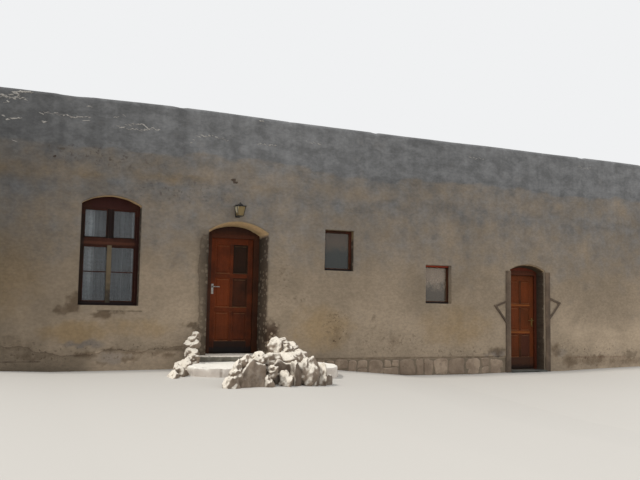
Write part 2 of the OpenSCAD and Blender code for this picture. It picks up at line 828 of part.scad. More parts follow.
// Dome of the cap: shares of half the cap's width and of the dome's height
cap_profile = [[0.62, 0], [0.56, 0.45], [0.40, 0.8], [0.18, 1]];
// Finial on the cap
finial_r = 13;
finial_up = 8;
// Place and thickness of the panes
pane_in = 5;
lantern_pane_t = 3;
lantern_pane_play = 4;

module lantern_bracket() {
    color(iron_c) {
        span(lantern_x - bracket_w / 2, lantern_x + bracket_w / 2, front_y - bracket_t, front_y,
             lantern_z - bracket_low, lantern_cap_z + bracket_high);
        span(lantern_x - arm_w / 2, lantern_x + arm_w / 2, lantern_y + lantern_cap_half + seat, front_y - bracket_t,
             lantern_cap_z + cap_t - arm_h, lantern_cap_z + cap_t);
    }
}

// The four corner bars lean outwards between a foot ring and a top ring
module lantern_cage() {
    color(iron_c) translate([lantern_x, lantern_y, lantern_z]) {
        difference() {
            translate([-lantern_foot_w / 2, -lantern_foot_w / 2, 0]) cube([lantern_foot_w, lantern_foot_w, cage_bar]);
            translate([0, 0, -over]) cylinder(h = 3 * over, r = lantern_foot_w / 5);
        }
        translate([0, 0, lantern_h - cage_bar]) difference() {
            translate([-lantern_top_w / 2, -lantern_top_w / 2, 0]) cube([lantern_top_w, lantern_top_w, cage_bar]);
            translate([cage_bar - lantern_top_w / 2, cage_bar - lantern_top_w / 2, -over])
                cube([lantern_top_w - 2 * cage_bar, lantern_top_w - 2 * cage_bar, 3 * over]);
        }
        for (a = [0 : 90 : 270]) rotate([0, 0, a]) corner_bar();
    }
}

module corner_bar() {
    foot = lantern_foot_w / 2 - cage_bar;
    reach = (lantern_top_w - lantern_foot_w) / 2;
    multmatrix([[1, 0, reach / lantern_h, foot], [0, 1, reach / lantern_h, foot], [0, 0, 1, 0]])
        cube([cage_bar, cage_bar, lantern_h]);
}

module lantern_glass() {
    z0 = cage_bar + seat;
    z1 = lantern_h - cage_bar - seat;
    foot = lantern_foot_w - 2 * cage_bar - lantern_pane_play;
    lean = (lantern_top_w - lantern_foot_w) / lantern_h;
    w0 = foot + lean * z0;
    w1 = foot + lean * z1;
    color([0.85, 0.62, 0.30, 0.7]) translate([lantern_x, lantern_y, lantern_z])
        for (a = [0 : 90 : 270]) rotate([0, 0, a])
            multmatrix([[1, 0, 0, 0], [0, 1, lean / 2, lantern_foot_w / 2 - pane_in], [0, 0, 1, 0]])
                rotate([90, 0, 0]) linear_extrude(lantern_pane_t)
                    polygon([[-w0 / 2, z0], [w0 / 2, z0], [w1 / 2, z1], [-w1 / 2, z1]]);
}

module lantern_cap() {
    color(iron_c) translate([lantern_x, lantern_y, lantern_cap_z]) {
        translate([-lantern_cap_half, -lantern_cap_half, 0]) cube([2 * lantern_cap_half, 2 * lantern_cap_half, cap_t]);
        translate([0, 0, cap_t]) rotate_extrude() polygon(concat(
            [[0, 0]], [for (q = cap_profile) [q[0] * lantern_cap_half, q[1] * cap_h]], [[0, cap_h]]));
        translate([0, 0, cap_t + cap_h + finial_up]) sphere(finial_r);
    }
}

// Steps of natural stone in front of door 1: outlines as shares of the half width and of the reach
function outline(points, half, reach) = [for (q = points) [q[0] * half, front_y - q[1] * reach]];

top_step_edge = [[-1, 0], [-0.96, 0.9], [-0.68, 1], [0.59, 0.96], [0.95, 0.86], [1, 0]];

module top_step() {
    color(pale_c) translate([door_1_x, 0, plinth_h]) linear_extrude(floor_1 - plinth_h) polygon(concat(
        outline(top_step_edge, top_step_w / 2, top_step_out),
        [[door_1_w / 2 + flare, front_y], [door_1_w / 2, front_y + door_1_recess],
         [-door_1_w / 2, front_y + door_1_recess], [-door_1_w / 2 - flare, front_y]]));
}

lower_step_edge = [[-0.92, 0.34], [-1.12, 0.62], [-1.06, 0.79], [-0.84, 0.87], [-0.5, 0.93], [0, 1], [0.44, 0.99],
                   [0.8, 1.02], [1, 0.98]];

module lower_step() {
    color(pale_c) translate([door_1_x, 0, 0]) linear_extrude(lower_step_z) polygon(concat(
        [[-lower_step_half * 0.86, front_y + plinth_set]],
        outline(lower_step_edge, lower_step_half, lower_step_out),
        [[lower_step_half, front_y + plinth_set]]));
}

// A boulder: the hull of points on a squashed ball, each pushed in or out by a seeded draw
boulder_rings = [-78, -38, 2, 42, 78];
boulder_turns = 6;

function boulder_points(size, seed) =
    let (push = rands(0.82, 1.08, 32, seed))
    [for (i = [0 : 4], k = [0 : (i == 0 || i == 4 ? 0 : boulder_turns - 1)])
        let (ring = boulder_rings[i], turn = k * 360 / boulder_turns + i * 25 + seed * 31)
        [size[0] * cos(turn) * cos(ring), size[1] * sin(turn) * cos(ring), size[2] * sin(ring)]
            * push[i * boulder_turns + k] / 2];

module boulder(place, size, seed) {
    points = boulder_points(size, seed);
    translate(place) hull() polyhedron(points, [[for (i = [0 : len(points) - 1]) i]]);
}

// Boulders are listed as place, from the middle of door 1 and the wall face, and size
left_pile = [
    [[-75, -20, 71], [14, 15, 16]], [[-79, -24, 65], [14, 15, 14]], [[-82, -27, 57], [21, 22, 18]],
    [[-85, -32, 46], [19, 24, 20]], [[-86, -40, 35], [19, 34, 20]], [[-88, -42, 15], [28, 44, 42]],
    [[-102, -62, 27], [20, 38, 28]], [[-103, -66, 10], [26, 44, 32]], [[-116, -93, 19], [26, 42, 28]],
    [[-118, -98, 6], [28, 46, 24]], [[-129, -116, 11], [18, 34, 26]]];
right_pile = [
    [[-50, -218, 24], [52, 42, 60]], [[-68, -222, 31], [18, 20, 26]], [[-56, -216, 44], [18, 18, 18]],
    [[-34, -208, 48], [19, 20, 18]], [[-79, -226, 13], [18, 22, 32]], [[5, -200, 22], [60, 42, 48]],
    [[-11, -198, 43], [26, 26, 22]], [[12, -193, 43], [28, 26, 20]], [[31, -185, 46], [18, 22, 22]],
    [[-19, -221, 33], [14, 24, 15]], [[-26, -225, 13], [14, 24, 29]], [[1, -222, 14], [20, 30, 32]],
    [[16, -219, 24], [11, 30, 54]], [[8, -160, 58], [15, 22, 26]], [[21, -151, 70], [17, 17, 14]],
    [[37, -152, 62], [19, 20, 17]], [[45, -162, 50], [16, 20, 19]], [[24, -158, 54], [28, 40, 24]],
    [[22, -160, 38], [58, 50, 30]], [[36, -210, 24], [31, 36, 50]], [[51, -206, 20], [18, 34, 44]],
    [[61, -208, 17], [14, 30, 40]], [[71, -203, 12], [12, 28, 30]], [[41, -188, 30], [26, 42, 38]]];

module pile(list, seed) {
    difference() {
        for (i = [0 : len(list) - 1])
            boulder([door_1_x, front_y, 0] + list[i][0] * boulder_unit, list[i][1] * boulder_unit, seed + i);
        span(left_x, right_x, front_y - house_d, front_y, -wall_top, 0);
        span(left_x, right_x, front_y - seat, inner_front_y, -wall_top, wall_top);
        lower_step();
        top_step();
        foot_slab();
    }
}

module left_boulders() {
    color(pale_c) pile(left_pile, 3);
}

module right_boulders() {
    color(pale_c) pile(right_pile, 40);
}

// Height that the flat slab lies below the lower step
slab_down = 5;
foot_slab_edge = [[0, 0.98], [0.42, 0.97], [0.84, 0.82], [1.06, 0.62], [1.04, 0.42], [0.84, 0.2]];

module foot_slab() {
    x0 = door_1_x + lower_step_half;
    color(pale_c) translate([x0, 0, 0]) linear_extrude(lower_step_z - slab_down) polygon(concat(
        [[0, front_y + plinth_set]], outline(foot_slab_edge, foot_slab_w, lower_step_out),
        [[foot_slab_w * 0.6, front_y + plinth_set]]));
}

// Roof: beams from wall to wall, boards on them, and packed earth falling to the rear
// Least gaps between the beam ends and the parapets, and between the end beams and the side walls
beam_end = 10;
beam_side = 100;
beam_l = house_d - 2 * parapet_t - 2 * beam_end;
beam_n = floor((house_l - 2 * wall_t - beam_d - 2 * beam_side) / beam_pitch) + 1;
function beam_x(i) = (i - (beam_n - 1) / 2) * beam_pitch;

module roof_beams() {
    color(timber_c) for (i = [0 : beam_n - 1])
        translate([beam_x(i), beam_l / 2, wall_top + seat + beam_d / 2]) rotate([90, 0, 0])
            cylinder(h = beam_l, r = beam_d / 2);
}

// Gap between the roof and the parapets
deck_gap = 0.3;
deck_half_l = house_l / 2 - parapet_t - deck_gap;
deck_half_d = house_d / 2 - parapet_t - deck_gap;

module roof_boards() {
    color(timber_c) span(-deck_half_l, deck_half_l, -deck_half_d, deck_half_d, deck_z, roof_z);
}

module roof_earth() {
    color(earth_c) translate([-deck_half_l, 0, roof_z]) rotate([90, 0, 90]) linear_extrude(2 * deck_half_l)
        polygon([[-deck_half_d, 0], [deck_half_d, 0], [deck_half_d, earth_rear], [-deck_half_d, earth_front]]);
}

// Rain spouts: open channels through the rear parapet
module rain_spouts() {
    color(timber_c) for (i = [0 : spout_n - 1]) difference() {
        span(spout_x(i) - spout_w / 2, spout_x(i) + spout_w / 2, rear_y - parapet_t, rear_y + spout_out,
             spout_z, spout_z + spout_h);
        span(spout_x(i) - spout_w / 2 + spout_t, spout_x(i) + spout_w / 2 - spout_t, rear_y - parapet_t - over,
             rear_y + spout_out + over, spout_z + spout_t, spout_z + spout_h + over);
    }
}

front_wall_left();
front_wall_middle();
front_wall_right();
door_1_head();
door_2_head();
left_wall();
right_wall();
rear_wall();
plinth_front();
plinth_rear();
plinth_sides();
front_parapet();
rear_parapet();
side_parapets();
upper_floor();
lower_floor();
door_1_frame();
door_1_leaf();
door_1_ironwork();
door_1_lever();
door_2_frame();
door_2_leaf();
door_2_ironwork();
door_2_lever();
frame_hinges();
door_2_surround();
door_2_sill();
window_1_frame();
window_1_sashes();
window_1_cover_strip();
window_1_glass();
curtain_rod();
window_1_curtains();
small_window_frames();
small_window_glass();
lantern_bracket();
lantern_cage();
lantern_glass();
lantern_cap();
top_step();
lower_step();
left_boulders();
right_boulders();
foot_slab();
roof_beams();
roof_boards();
roof_earth();
rain_spouts();
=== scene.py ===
"""Adobe house with two six-panel doors: visual pieces, finishes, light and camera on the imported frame."""
import logging
import math
from dataclasses import dataclass, field, replace
from enum import Enum
from functools import lru_cache, reduce
from typing import Any, Callable, Sequence

import bmesh
import bpy
import numpy as np
from mathutils import Matrix, Vector
from mathutils.geometry import tessellate_polygon


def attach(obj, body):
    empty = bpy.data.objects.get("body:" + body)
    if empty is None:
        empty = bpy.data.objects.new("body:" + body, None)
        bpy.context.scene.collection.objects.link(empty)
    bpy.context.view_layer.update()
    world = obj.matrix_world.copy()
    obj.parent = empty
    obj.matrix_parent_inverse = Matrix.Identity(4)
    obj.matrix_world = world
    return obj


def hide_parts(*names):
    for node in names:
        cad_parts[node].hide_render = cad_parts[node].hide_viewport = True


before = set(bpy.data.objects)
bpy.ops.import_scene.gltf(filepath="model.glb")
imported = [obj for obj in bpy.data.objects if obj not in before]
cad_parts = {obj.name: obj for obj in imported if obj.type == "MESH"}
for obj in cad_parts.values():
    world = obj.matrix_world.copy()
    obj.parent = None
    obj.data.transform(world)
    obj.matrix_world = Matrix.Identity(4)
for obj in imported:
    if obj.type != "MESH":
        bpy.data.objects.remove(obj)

LOG = logging.getLogger("adobe_house")
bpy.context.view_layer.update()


class Body(Enum):
    """The bodies that a piece can ride on."""

    HOUSE = "house"
    DOOR_1 = "door_1"
    DOOR_2 = "door_2"


# ---------------------------------------------------------------- numbers over a surface


def srgb(red: float, green: float, blue: float) -> tuple[float, float, float, float]:
    """A colour written in 0 to 255, as linear light with full alpha."""
    parts = [value / 255 for value in (red, green, blue)]
    return tuple(p / 12.92 if p <= 0.04045 else ((p + 0.055) / 1.055) ** 2.4 for p in parts) + (1.0,)


def smooth(value: np.ndarray, low: float, high: float) -> np.ndarray:
    """Smooth step: 0 below low, 1 above high, a cubic between them (t * t * (3 - 2 t))."""
    t = np.clip((value - low) / (high - low), 0, 1)
    return t * t * (3 - 2 * t)


def lattice(cells: np.ndarray, seed: int) -> np.ndarray:
    """Draw a fixed value from 0 to 1 for each cell, by an integer mix of its three whole numbers and the seed.

    Args:
        cells: Whole numbers, three to a row.
        seed: Number of the draw.

    Returns:
        One value a row.
    """
    c = cells.astype(np.int64)
    h = (c[..., 0] * 73856093) ^ (c[..., 1] * 19349663) ^ (c[..., 2] * 83492791) ^ (seed * 961748927)
    h = ((h ^ (h >> 13)) * 1274126177) & 0x7FFFFFFF
    h = ((h ^ (h >> 15)) * 40503) & 0xFFFFFF
    return h / float(0xFFFFFF)


def noise(points: np.ndarray, size: float, seed: int = 0) -> np.ndarray:
    """Smooth value noise: the eight corner values of a cell, blended with a cubic along each axis.

    Args:
        points: Places in metres, three to a row.
        size: Size of a cell in metres.
        seed: Number of the draw.

    Returns:
        One value from -1 to 1 a point.
    """
    base = np.floor(points / size)
    t = smooth(points / size - base, 0, 1)
    total = np.zeros(len(points))
    for corner in np.ndindex(2, 2, 2):
        total += np.prod(np.where(corner, t, 1 - t), axis=1) * lattice(base + corner, seed)
    return 2 * total - 1


def rough(points: np.ndarray, size: float, octaves: int = 3, gain: float = 0.5, seed: int = 0) -> np.ndarray:
    """Layers of noise: each has half the cell size of the one before and gain times its height."""
    return sum(gain**k * noise(points, size / 2**k, seed + 17 * k) for k in range(octaves))


def unit(vectors: np.ndarray) -> np.ndarray:
    """Vectors, one to a row, scaled to a length of 1."""
    return vectors / np.maximum(np.linalg.norm(vectors, axis=1), 1e-6)[:, None]


# ---------------------------------------------------------------- meshes


@dataclass
class Shell:
    """A surface in the making: points, faces and values over the points."""

    points: np.ndarray
    faces: list[tuple[int, ...]]
    values: dict[str, np.ndarray] = field(default_factory=dict)
    flat: list[bool] | None = None

    @staticmethod
    def joined(parts: Sequence["Shell"]) -> "Shell":
        """One shell of several; each keeps its points, faces and values.

        Args:
            parts: The shells, in order.

        Returns:
            The shell of them all.
        """
        faces: list[tuple[int, ...]] = []
        flat: list[bool] = []
        start = 0
        for part in parts:
            faces += [tuple(i + start for i in face) for face in part.faces]
            flat += part.flat or [False] * len(part.faces)
            start += len(part.points)
        values = {name: np.concatenate([p.values.get(name, np.zeros(len(p.points))) for p in parts])
                  for name in sorted({name for part in parts for name in part.values})}
        return Shell(np.concatenate([p.points for p in parts]), faces, values, flat)


def grid_faces(rows: int, columns: int, closed: bool = False) -> list[tuple]:
    """Quads of a grid whose point (row, column) has the index row * columns + column.

    Args:
        rows: Number of rows of points.
        columns: Number of points in a row.
        closed: Whether the last column joins the first.

    Returns:
        The quads, turning from the columns to the rows.
    """
    j = np.arange(rows - 1)[:, None] * columns
    i = np.arange(columns if closed else columns - 1)[None, :]
    after = (i + 1) % columns
    quads = np.stack([j + i, j + after, j + columns + after, j + columns + i], axis=-1)
    return [tuple(q) for q in quads.reshape(-1, 4).tolist()]


def tube_faces(rows: int, columns: int, poles: Sequence[int | None] = (None, None)) -> list[tuple]:
    """Faces of a row of rings, closed at each end by one flat face, or by triangles where it has a pole.

    Args:
        rows: Number of rings.
        columns: Number of points in a ring.
        poles: Index of the point that closes each end, or None.

    Returns:
        The faces, turning from the columns to the rows.
    """
    faces = grid_faces(rows, columns, closed=True)
    ends = list(range(columns))[::-1], list(range((rows - 1) * columns, rows * columns))
    for ring, pole in zip(ends, poles):
        faces += [tuple(ring)] if pole is None else [(pole, *pair) for pair in zip(ring, ring[1:] + ring[:1])]
    return faces


def turned_over(faces: Sequence[tuple]) -> list[tuple]:
    """The faces, facing the other way."""
    return [face[::-1] for face in faces]


def linked(name: str, data: Any) -> bpy.types.Object:
    """A new object of some data, linked to the scene.

    Args:
        name: Name of the object.
        data: Mesh, light or camera.

    Returns:
        The object.
    """
    made = bpy.data.objects.new(name, data)
    bpy.context.scene.collection.objects.link(made)
    return made


def meshed(name: str, shell: Shell) -> bpy.types.Object:
    """A new object of a shell, which carries the shell's values.

    Args:
        name: Name of the object.
        shell: Its surface.

    Returns:
        The object.
    """
    mesh = bpy.data.meshes.new(name)
    mesh.from_pydata(shell.points.tolist(), [], shell.faces)
    mesh.polygons.foreach_set("use_smooth", [not f for f in shell.flat or [False] * len(shell.faces)])
    carry(mesh, shell.values)
    mesh.update()
    return linked(name, mesh)


def carry(mesh: bpy.types.Mesh, values: dict[str, np.ndarray]) -> None:
    """Store values over the points of a mesh.

    Args:
        mesh: The mesh.
        values: A number for each point, by name.
    """
    for label, numbers in values.items():
        layer = mesh.attributes.new(label, "FLOAT", "POINT")
        layer.data.foreach_set("value", np.asarray(numbers, np.float32))


def lay_map(made: bpy.types.Object, name: str, places: np.ndarray) -> None:
    """Give a piece a UV map from two coordinates for each of its points.

    Args:
        made: The piece.
        name: Name of the map.
        places: Two numbers for each point.
    """
    layer = made.data.uv_layers.new(name=name)
    corner = np.zeros(len(made.data.loops), np.int64)
    made.data.loops.foreach_get("vertex_index", corner)
    layer.data.foreach_set("uv", places[corner].astype(np.float32).ravel())


def settle(made: bpy.types.Object, finish: "Finish", replaces: Sequence[str] = (),
           body: Body = Body.HOUSE) -> bpy.types.Object:
    """Give a piece its finish, its body and the solids that it stands for.

    Args:
        made: The piece.
        finish: Finish that it gets.
        replaces: Solids of the frame that it stands for.
        body: Body that it moves with.

    Returns:
        The piece.
    """
    made.data.materials.clear()
    made.data.materials.append(finish.material())
    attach(made, body.value)
    if replaces:
        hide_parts(*replaces)
    LOG.info("%s: %d faces on %s", made.name, len(made.data.polygons), body.value)
    return made


def piece(name: str, shell: Shell, finish: "Finish", replaces: Sequence[str] = (),
          body: Body = Body.HOUSE) -> bpy.types.Object:
    """Make an object of a shell, dress it and let it ride on its body.

    Args:
        name: Name of the piece.
        shell: Its surface.
        finish: Finish that it gets.
        replaces: Solids of the frame that it stands for.
        body: Body that it moves with.

    Returns:
        The new object.
    """
    return settle(meshed(name, shell), finish, replaces, body)


def dress(node: str, finish: "Finish") -> None:
    """Give a solid of the frame that stays in view its finish.

    Args:
        node: Name of the solid.
        finish: Finish that it gets.
    """
    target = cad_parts[node]
    target.data.materials.clear()
    target.data.materials.append(finish.material())
    LOG.info("%s: kept, %s", node, finish.name)


def fill(points: np.ndarray, loops: Sequence[Sequence[int]], across: np.ndarray, up: np.ndarray,
         facing: np.ndarray) -> list[tuple[int, ...]]:
    """Close flat outlines with triangles.

    Args:
        points: All points of the shell.
        loops: The outer outline and then its holes, as indices.
        across: Unit vector of the plane's first axis.
        up: Unit vector of the plane's second axis.
        facing: Vector that the triangles must face.

    Returns:
        Triangles as indices into the points.
    """
    order = [i for loop in loops for i in loop]
    flat = [[Vector((float(points[i] @ across), float(points[i] @ up), 0.0)) for i in loop] for loop in loops]
    triangles = np.array([[order[k] for k in t] for t in tessellate_polygon(flat)])
    a, b, c = (points[triangles[:, k]] for k in range(3))
    turned = (np.cross(b - a, c - a) @ facing) < 0
    triangles[turned] = triangles[turned][:, ::-1]
    return [tuple(t) for t in triangles.tolist()]


def softened(node: str, name: str, width: float, segments: int = 2) -> bpy.types.Object:
    """Copy a solid of the frame with worn edges.

    The copy's loose triangles are merged, flat faces are dissolved, and a bevel rounds what stands at more
    than 28 degrees.

    Args:
        node: Solid that is copied.
        name: Name of the piece.
        width: Width of the bevel in metres.
        segments: Number of steps in the bevel.

    Returns:
        The new object, which has neither body nor finish yet.
    """
    source = bmesh.new()
    source.from_mesh(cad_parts[node].data)
    bmesh.ops.remove_doubles(source, verts=source.verts, dist=1e-5)
    bmesh.ops.dissolve_limit(source, angle_limit=math.radians(0.4), verts=source.verts, edges=source.edges)
    mesh = bpy.data.meshes.new(name)
    source.to_mesh(mesh)
    source.free()
    made = linked(name, mesh)
    bevel = made.modifiers.new("worn edges", "BEVEL")
    bevel.width, bevel.segments, bevel.angle_limit = width, segments, math.radians(28)
    bevel.use_clamp_overlap, bevel.harden_normals = True, True
    mesh.polygons.foreach_set("use_smooth", [True] * len(mesh.polygons))
    return made


def worn(node: str, name: str, width: float, finish: "Finish", body: Body = Body.HOUSE, segments: int = 2) -> None:
    """Show a copy with worn edges in place of a solid of the frame."""
    settle(softened(node, name, width, segments), finish, (node,), body)


# ---------------------------------------------------------------- shader nodes


class Graph:
    """A thin hand on a node tree: adds nodes, sets their sockets and joins them."""

    def __init__(self, tree: bpy.types.NodeTree) -> None:
        """Keep the tree that nodes are added to."""
        self.tree = tree

    def feed(self, node: bpy.types.Node, inputs: dict[Any, Any]) -> bpy.types.Node:
        """Set sockets of a node, by name or number, to values, or join them to the sockets that feed them.

        Args:
            node: The node.
            inputs: Values or sockets, by the node's own sockets.

        Returns:
            The node.
        """
        for key, value in inputs.items():
            if isinstance(value, bpy.types.NodeSocket):
                self.tree.links.new(value, node.inputs[key])
            else:
                node.inputs[key].default_value = value
        return node

    def add(self, kind: str, inputs: dict[Any, Any] | None = None, **settings: Any) -> Any:
        """Add a shader node.

        Args:
            kind: Type of the node, without the words that all types start with.
            inputs: Sockets by name or number, with a value or the socket that feeds them.
            **settings: Properties of the node.

        Returns:
            The outputs of the new node.
        """
        made = self.tree.nodes.new("ShaderNode" + kind)
        for key, value in settings.items():
            setattr(made, key, value)
        return self.feed(made, inputs or {}).outputs

    def math(self, operation: str, *terms: Any, clamp: bool = False) -> bpy.types.NodeSocket:
        """The result of an arithmetic node."""
        return self.add("Math", dict(enumerate(terms)), operation=operation, use_clamp=clamp)[0]

    def plus(self, *terms: Any) -> bpy.types.NodeSocket:
        """The sum of the terms."""
        return reduce(lambda a, b: self.math("ADD", a, b), terms)

    def times(self, *terms: Any) -> bpy.types.NodeSocket:
        """The product of the terms."""
        return reduce(lambda a, b: self.math("MULTIPLY", a, b), terms)

    def minus(self, first: Any, second: Any) -> bpy.types.NodeSocket:
        """The first term less the second."""
        return self.math("SUBTRACT", first, second)

    def step(self, value: Any, low: Any, high: Any) -> bpy.types.NodeSocket:
        """A smooth step from low to high, as a value from 0 to 1."""
        return self.add("MapRange", {0: value, 1: low, 2: high}, interpolation_type="SMOOTHSTEP")[0]

    def blend(self, factor: Any, first: Any, second: Any, mode: str = "MIX") -> bpy.types.NodeSocket:
        """Two colours mixed by a factor; a tuple is a colour written in 0 to 255."""
        first, second = (srgb(*c) if isinstance(c, tuple) else c for c in (first, second))
        return self.add("Mix", {0: factor, 6: first, 7: second}, data_type="RGBA", blend_type=mode)[2]

    def over(self, base: Any, *layers: tuple) -> bpy.types.NodeSocket:
        """A base with layers over it, each a colour, the mask that it goes by and how much of it there is.

        Args:
            base: Colour below the layers.
            *layers: The layers, from below.

        Returns:
            Colour on top.
        """
        for colour, mask, amount in layers:
            base = self.blend(self.times(mask, amount), base, colour)
        return base

    def noise(self, vector: Any, scale: Any, detail: float = 4.0, roughness: float = 0.55,
              distortion: float = 0.0) -> bpy.types.NodeSocket:
        """A noise value from 0 to 1."""
        return self.add("TexNoise", {"Vector": vector, "Scale": scale, "Detail": detail, "Roughness": roughness,
                                     "Distortion": distortion})[0]

    def cells(self, vector: Any, scale: float, randomness: float = 1.0) -> Any:
        """The outputs of a cell pattern: distance to the middle of the cell, and its drawn colour."""
        return self.add("TexVoronoi", {"Vector": vector, "Scale": scale, "Randomness": randomness})

    def value(self, name: str) -> bpy.types.NodeSocket:
        """A value that the mesh carries over its points."""
        return self.add("Attribute", attribute_name=name)["Fac"]

    def place(self) -> bpy.types.NodeSocket:
        """Object coordinates, which are metres in the frame."""
        return self.add("TexCoord")["Object"]

    def map(self, name: str) -> bpy.types.NodeSocket:
        """Coordinates of a map that the mesh carries."""
        return self.add("UVMap", uv_map=name)[0]

    def stretched(self, vector: Any, scale: Sequence[float]) -> bpy.types.NodeSocket:
        """A vector scaled along its axes."""
        return self.add("Mapping", {"Vector": vector, "Scale": scale})[0]

    def vector(self, operation: str, *terms: Any) -> Any:
        """The outputs of a vector arithmetic node."""
        return self.add("VectorMath", dict(enumerate(terms)), operation=operation)

    def bump(self, height: Any, depth: float) -> bpy.types.NodeSocket:
        """A normal from a height; depth is in metres."""
        return self.add("Bump", {"Height": height, "Distance": depth, "Strength": 1.0})[0]


def shader_group(name: str, inputs: dict[str, Any], outputs: Sequence[str]) -> Callable:
    """Turn a function that lays out nodes into one that builds its group on the first call and returns it.

    Args:
        name: Name of the group.
        inputs: Default value of each input; None stands for a vector.
        outputs: Name of each output, all of them values.

    Returns:
        The decorator of the function, which gets the graph and the input sockets and returns the output values.
    """

    def decorate(lay: Callable[[Graph, dict[str, Any]], dict[str, Any]]) -> Callable[[], bpy.types.NodeTree]:
        """Wrap the function that lays out the nodes.

        Args:
            lay: The function.

        Returns:
            A function without arguments, which returns the group.
        """

        @lru_cache
        def tree() -> bpy.types.NodeTree:
            """Build the group.

            Returns:
                The group.
            """
            made = bpy.data.node_groups.new(name, "ShaderNodeTree")
            for label, start in inputs.items():
                kind = "NodeSocketVector" if start is None else "NodeSocketFloat"
                socket = made.interface.new_socket(name=label, in_out="INPUT", socket_type=kind)
                if start is not None:
                    socket.default_value = start
            for label in outputs:
                made.interface.new_socket(name=label, in_out="OUTPUT", socket_type="NodeSocketFloat")
            graph, entry = Graph(made), made.nodes.new("NodeGroupInput").outputs
            graph.feed(made.nodes.new("NodeGroupOutput"), lay(graph, {label: entry[label] for label in inputs}))
            return made

        return tree

    return decorate


@shader_group("mineral mottle", {"Vector": None, "Scale": 1.0}, ("Clouds", "Patches", "Grit", "Height"))
def mottle_group(g: Graph, s: dict[str, Any]) -> dict[str, Any]:
    """A mineral surface: clouds at the given scale, patches five times finer, grit of 4 mm, pits of 15 mm.

    Args:
        g: Graph of the group.
        s: Its input sockets, by name.

    Returns:
        Its outputs, by name.
    """
    where = s["Vector"]
    clouds = g.noise(where, s["Scale"], 5, 0.6, 0.4)
    patches = g.noise(where, g.times(s["Scale"], 5.3), 6, 0.65)
    grit = g.noise(where, 210, 3, 0.7)
    pits = g.step(g.cells(where, 46)[0], 0.16, 0.30)
    height = g.plus(g.times(g.noise(where, 38, 4, 0.6), 0.6), g.times(grit, 0.22), g.times(pits, 0.12))
    return {"Clouds": g.step(clouds, 0.34, 0.66), "Patches": g.step(patches, 0.36, 0.64),
            "Grit": g.step(grit, 0.33, 0.67), "Height": height}


@shader_group("wood grain", {"Vector": None}, ("Figure", "Pores", "Height"))
def grain_group(g: Graph, s: dict[str, Any]) -> dict[str, Any]:
    """Wood figure on a vector pressed together along the grain: rings 60 mm apart, fibres of 2 mm, pores.

    Args:
        g: Graph of the group.
        s: Its input sockets, by name.

    Returns:
        Its outputs, by name.
    """
    rings = g.math("SINE", g.times(g.noise(s["Vector"], 9, 3, 0.5, 1.2), 34.0))
    figure = g.plus(g.times(rings, 0.28), g.noise(s["Vector"], 210, 4, 0.7))
    pores = g.step(g.noise(s["Vector"], 420, 2, 0.5), 0.56, 0.68)
    return {"Figure": g.step(figure, 0.15, 0.9), "Pores": pores, "Height": g.minus(figure, g.times(pores, 0.6))}


@shader_group("dust", {"Vector": None, "Lying": 0.6, "Veil": 0.15}, ("Mask",))
def dust_and_sun_group(g: Graph, s: dict[str, Any]) -> dict[str, Any]:
    """Pale dust and painted sunlight on faces turned up and to the left, broken by noise, and dust in a thin veil
    elsewhere.

    Args:
        g: Graph of the group.
        s: Its input sockets, by name.

    Returns:
        Its outputs, by name.
    """
    normal = g.add("NewGeometry")["Normal"]
    # The painted sunlight comes from above, from the left and a little from the front.
    turned = g.vector("DOT_PRODUCT", normal, (-0.42, -0.10, 0.90))[1]
    lying = g.step(g.plus(turned, g.times(g.noise(s["Vector"], 14, 4, 0.7), 0.5)), 0.55, 0.95)
    patch = g.step(g.noise(s["Vector"], 22, 5, 0.65), 0.3, 0.7)
    veil = g.times(g.step(g.noise(s["Vector"], 6, 6, 0.7), 0.42, 0.75), s["Veil"])
    top = g.times(lying, s["Lying"], g.plus(0.55, patch))
    return {"Mask": g.math("ADD", top, veil, clamp=True)}


@shader_group("bedded pebbles", {"Vector": None}, ("Pale",))
def pebble_group(g: Graph, s: dict[str, Any]) -> dict[str, Any]:
    """Pebbles of 40 to 60 mm, cells near their middles: a mask of the two in five that are pale.

    Args:
        g: Graph of the group.
        s: Its input sockets, by name.

    Returns:
        Its outputs, by name.
    """
    cells = g.cells(s["Vector"], 14)
    drawn = g.add("SeparateColor", {0: cells["Color"]})[0]
    return {"Pale": g.times(g.step(g.minus(0.5, cells["Distance"]), 0.0, 0.16), g.step(drawn, 0.32, 0.5))}


@shader_group("soft zone", {"Vector": None, "Middle": None, "Half": None, "Soft": 0.01}, ("Mask",))
def zone_group(g: Graph, s: dict[str, Any]) -> dict[str, Any]:
    """A box with soft, wavering edges: the least distance to a side, moved by noise, stepped over the softness.

    Args:
        g: Graph of the group.
        s: Its input sockets, by name.

    Returns:
        Its outputs, by name.
    """
    away = g.vector("ABSOLUTE", g.vector("SUBTRACT", s["Vector"], s["Middle"])[0])[0]
    left = g.add("SeparateXYZ", {0: g.vector("SUBTRACT", s["Half"], away)[0]})
    waver = g.times(g.minus(g.noise(s["Vector"], 14, 5, 0.65), 0.5), s["Soft"], 2.0)
    least = g.plus(g.math("MINIMUM", g.math("MINIMUM", left[0], left[2]), left[1]), waver)
    edge = g.times(s["Soft"], 0.5)
    return {"Mask": g.step(least, g.times(edge, -1.0), edge)}


@dataclass(frozen=True)
class Zone:
    """A soft-edged box in the front of the house that takes another colour; place and half size are X and Z."""

    at: tuple[float, float]
    half: tuple[float, float]
    colour: tuple[float, float, float]
    amount: float = 0.8
    soft: float = 0.012


